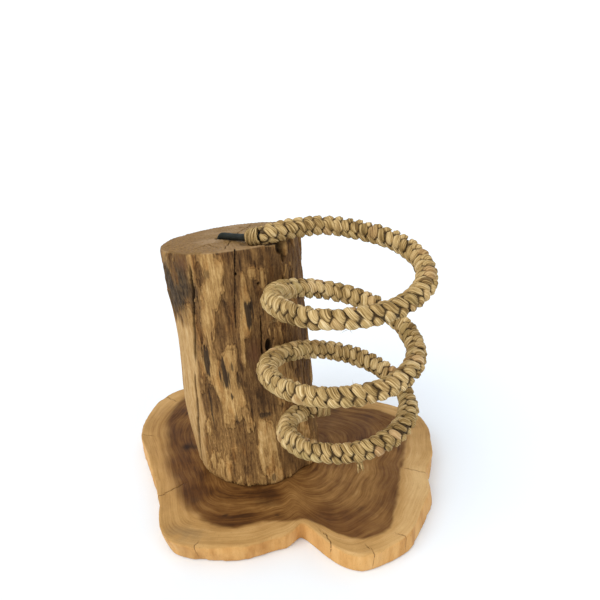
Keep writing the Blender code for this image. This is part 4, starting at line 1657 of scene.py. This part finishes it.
# ------------------------------------------------------------------ screws
def build_screw(number, angle, made_of):
    """A countersunk wood screw with a cross recess and a rolled thread."""
    x0 = LOG_FOOT[0] + SCREW_CIRCLE * math.cos(math.radians(angle))
    y0 = LOG_FOOT[1] + SCREW_CIRCLE * math.sin(math.radians(angle))
    n = 48
    a = 2 * math.pi * np.arange(n) / n
    profile = [(4.9, 0.0), (4.95, 0.25), (4.9, 0.6), (4.2, 1.25), (3.2, 2.3), (2.5, 3.2), (2.42, 4.0)]
    levels = [(r, z, 0.0) for r, z in profile]
    for z in np.arange(4.5, 61.5, 0.45):
        depth = 0.0 if z < 20.0 else 0.38
        core = 2.1 if z < 55.0 else 2.1 * max(0.12, (62.0 - z) / 7.0)
        levels.append((core, z, depth * min(1.0, core / 1.2)))
    rows = []
    for r, z, thread in levels:
        ridge = np.maximum(0.0, np.cos(a - 2 * math.pi * z / 2.4)) ** 4
        rr = r + thread * ridge
        rows.append(
            np.stack([x0 + rr * np.cos(a), y0 + rr * np.sin(a), np.full(n, SCREW_SUNK + z)], axis=1)
        )
    # head face: rings to the middle, with a four-winged recess pressed in
    face = []
    turned = math.radians(20.0 + 37.0 * number)
    for r in (4.55, 4.0, 3.4, 2.9, 2.5, 2.1, 1.7, 1.3, 0.9, 0.45):
        x, y = r * np.cos(a), r * np.sin(a)
        u = x * math.cos(turned) + y * math.sin(turned)
        v = -x * math.sin(turned) + y * math.cos(turned)
        arm = np.minimum(np.abs(u), np.abs(v))
        reach = np.maximum(np.abs(u), np.abs(v))
        deep = 2.0 * step(0.85, 0.45, arm) * step(2.9, 1.9, reach)
        face.append(
            np.stack([x0 + x, y0 + y, SCREW_SUNK + 0.02 + deep], axis=1)
        )
    rows = face[::-1] + rows
    points = np.concatenate(rows)
    ends = [
        [x0, y0, SCREW_SUNK + 2.0],
        [x0, y0, SCREW_SUNK + 62.0],
    ]
    size = len(points)
    points = np.concatenate([points, ends])
    faces = [
        grid_faces(len(rows), n),
        fan(np.arange(n)[::-1], size),
        fan((len(rows) - 1) * n + np.arange(n), size + 1),
    ]
    return make_object(
        f"base_screw_{number}_threaded",
        points,
        faces,
        made_of,
        slot="screw_steel",
        stands_for=(f"base_screw_{number}",),
    )


# ------------------------------------------------------------------ stage, light, camera
def build_stage():
    profile = [(-4.0, 0.0)]
    profile += [(y, 0.0) for y in np.linspace(-3.0, 2.5, 12)]
    profile += [
        (2.5 + 1.5 * math.sin(b), 1.5 - 1.5 * math.cos(b))
        for b in np.radians(np.arange(6, 91, 6))
    ]
    profile += [(4.0, 3.0), (4.0, 5.0)]
    build = bmesh.new()
    rows = []
    for x in (-6.0, 6.0):
        rows.append([build.verts.new((x, y, z - 0.0002)) for y, z in profile])
    for i in range(len(profile) - 1):
        build.faces.new((rows[0][i], rows[1][i], rows[1][i + 1], rows[0][i + 1]))
    mesh = bpy.data.meshes.new("stage_floor")
    build.to_mesh(mesh)
    build.free()
    mesh.shade_smooth()
    m = Shade("stage_white")
    m.set(Base_Color=linear(240, 246, 252), Roughness=0.9)
    m.set(Specular_IOR_Level=0.1)
    mesh.materials.append(m.made)
    floor = bpy.data.objects.new("stage_floor", mesh)
    bpy.context.scene.collection.objects.link(floor)


def area_light(name, place, aim, size, power, colour=(1, 1, 1)):
    data = bpy.data.lights.new(name, "AREA")
    data.shape = "RECTANGLE"
    data.size, data.size_y = size
    data.energy = power
    data.color = colour
    lamp = bpy.data.objects.new(name, data)
    bpy.context.scene.collection.objects.link(lamp)
    lamp.location = place
    lamp.rotation_mode = "QUATERNION"
    lamp.rotation_quaternion = (Vector(aim) - Vector(place)).to_track_quat("-Z", "Y")


def build_light():
    world = bpy.data.worlds.new("studio")
    bpy.context.scene.world = world
    world.use_nodes = True
    sky = world.node_tree.nodes["Background"]
    sky.inputs["Color"].default_value = (1.0, 1.0, 1.0, 1.0)
    sky.inputs["Strength"].default_value = 0.74
    data = bpy.data.lights.new("key", "SUN")
    data.energy = 1.75
    data.angle = 0.8
    data.color = (1.0, 0.99, 0.975)
    key = bpy.data.objects.new("key", data)
    bpy.context.scene.collection.objects.link(key)
    key.rotation_mode = "QUATERNION"
    key.rotation_quaternion = Vector((0.55, 0.75, -0.95)).to_track_quat("-Z", "Y")
    area_light("fill", (1.1, -0.9, 0.8), (0, 0, 0.1), (1.0, 1.0), 3.0)


def build_camera():
    data = bpy.data.cameras.new("camera")
    data.sensor_width = 36.0
    data.sensor_fit = "HORIZONTAL"
    data.lens = 36.0 * 650.4 / 600.0
    data.clip_start, data.clip_end = 0.01, 50.0
    camera = bpy.data.objects.new("camera", data)
    bpy.context.scene.collection.objects.link(camera)
    right = Vector((0.99454, 0.10366, -0.01168)).normalized()
    ahead = Vector((-0.09991, 0.91428, -0.39257)).normalized()
    up = right.cross(ahead).normalized()
    right = ahead.cross(up).normalized()
    camera.matrix_world = Matrix(
        (
            (right.x, up.x, -ahead.x, 0.072575),
            (right.y, up.y, -ahead.y, -0.47134),
            (right.z, up.z, -ahead.z, 0.37165),
            (0, 0, 0, 1),
        )
    )
    bpy.context.scene.camera = camera
    view = bpy.context.scene.view_settings
    view.view_transform = "Standard"
    view.look = "None"


def main():
    build_camera()
    build_light()
    build_stage()
    build_slab(slab_material())
    build_log(log_material())
    build_rod(iron_material())
    braid = rope_material("seagrass_braid")
    twine = rope_material("seagrass_twine", 0.6)
    build_rope(braid)
    build_fibres(twine)
    build_binding(
        "upper_binding_twine",
        twine,
        ROPE_START,
        ROPE_START + UPPER_BINDING_LENGTH,
        "upper_binding",
        21,
        "begin",
        ((3.8, 1.0), (4.7, -1.0), (5.5, 1.0), (6.2, -1.0)),
    )
    build_binding(
        "lower_binding_twine",
        twine,
        ROPE_END - LOWER_BINDING_LENGTH,
        ROPE_END,
        "lower_binding",
        22,
        "end",
        ((4.2, 1.0), (5.3, -1.0), (6.3, 1.0), (7.1, -1.0)),
    )
    zinc = screw_material()
    for number, angle in enumerate(SCREW_ANGLES, 1):
        build_screw(number, angle, zinc)


main()
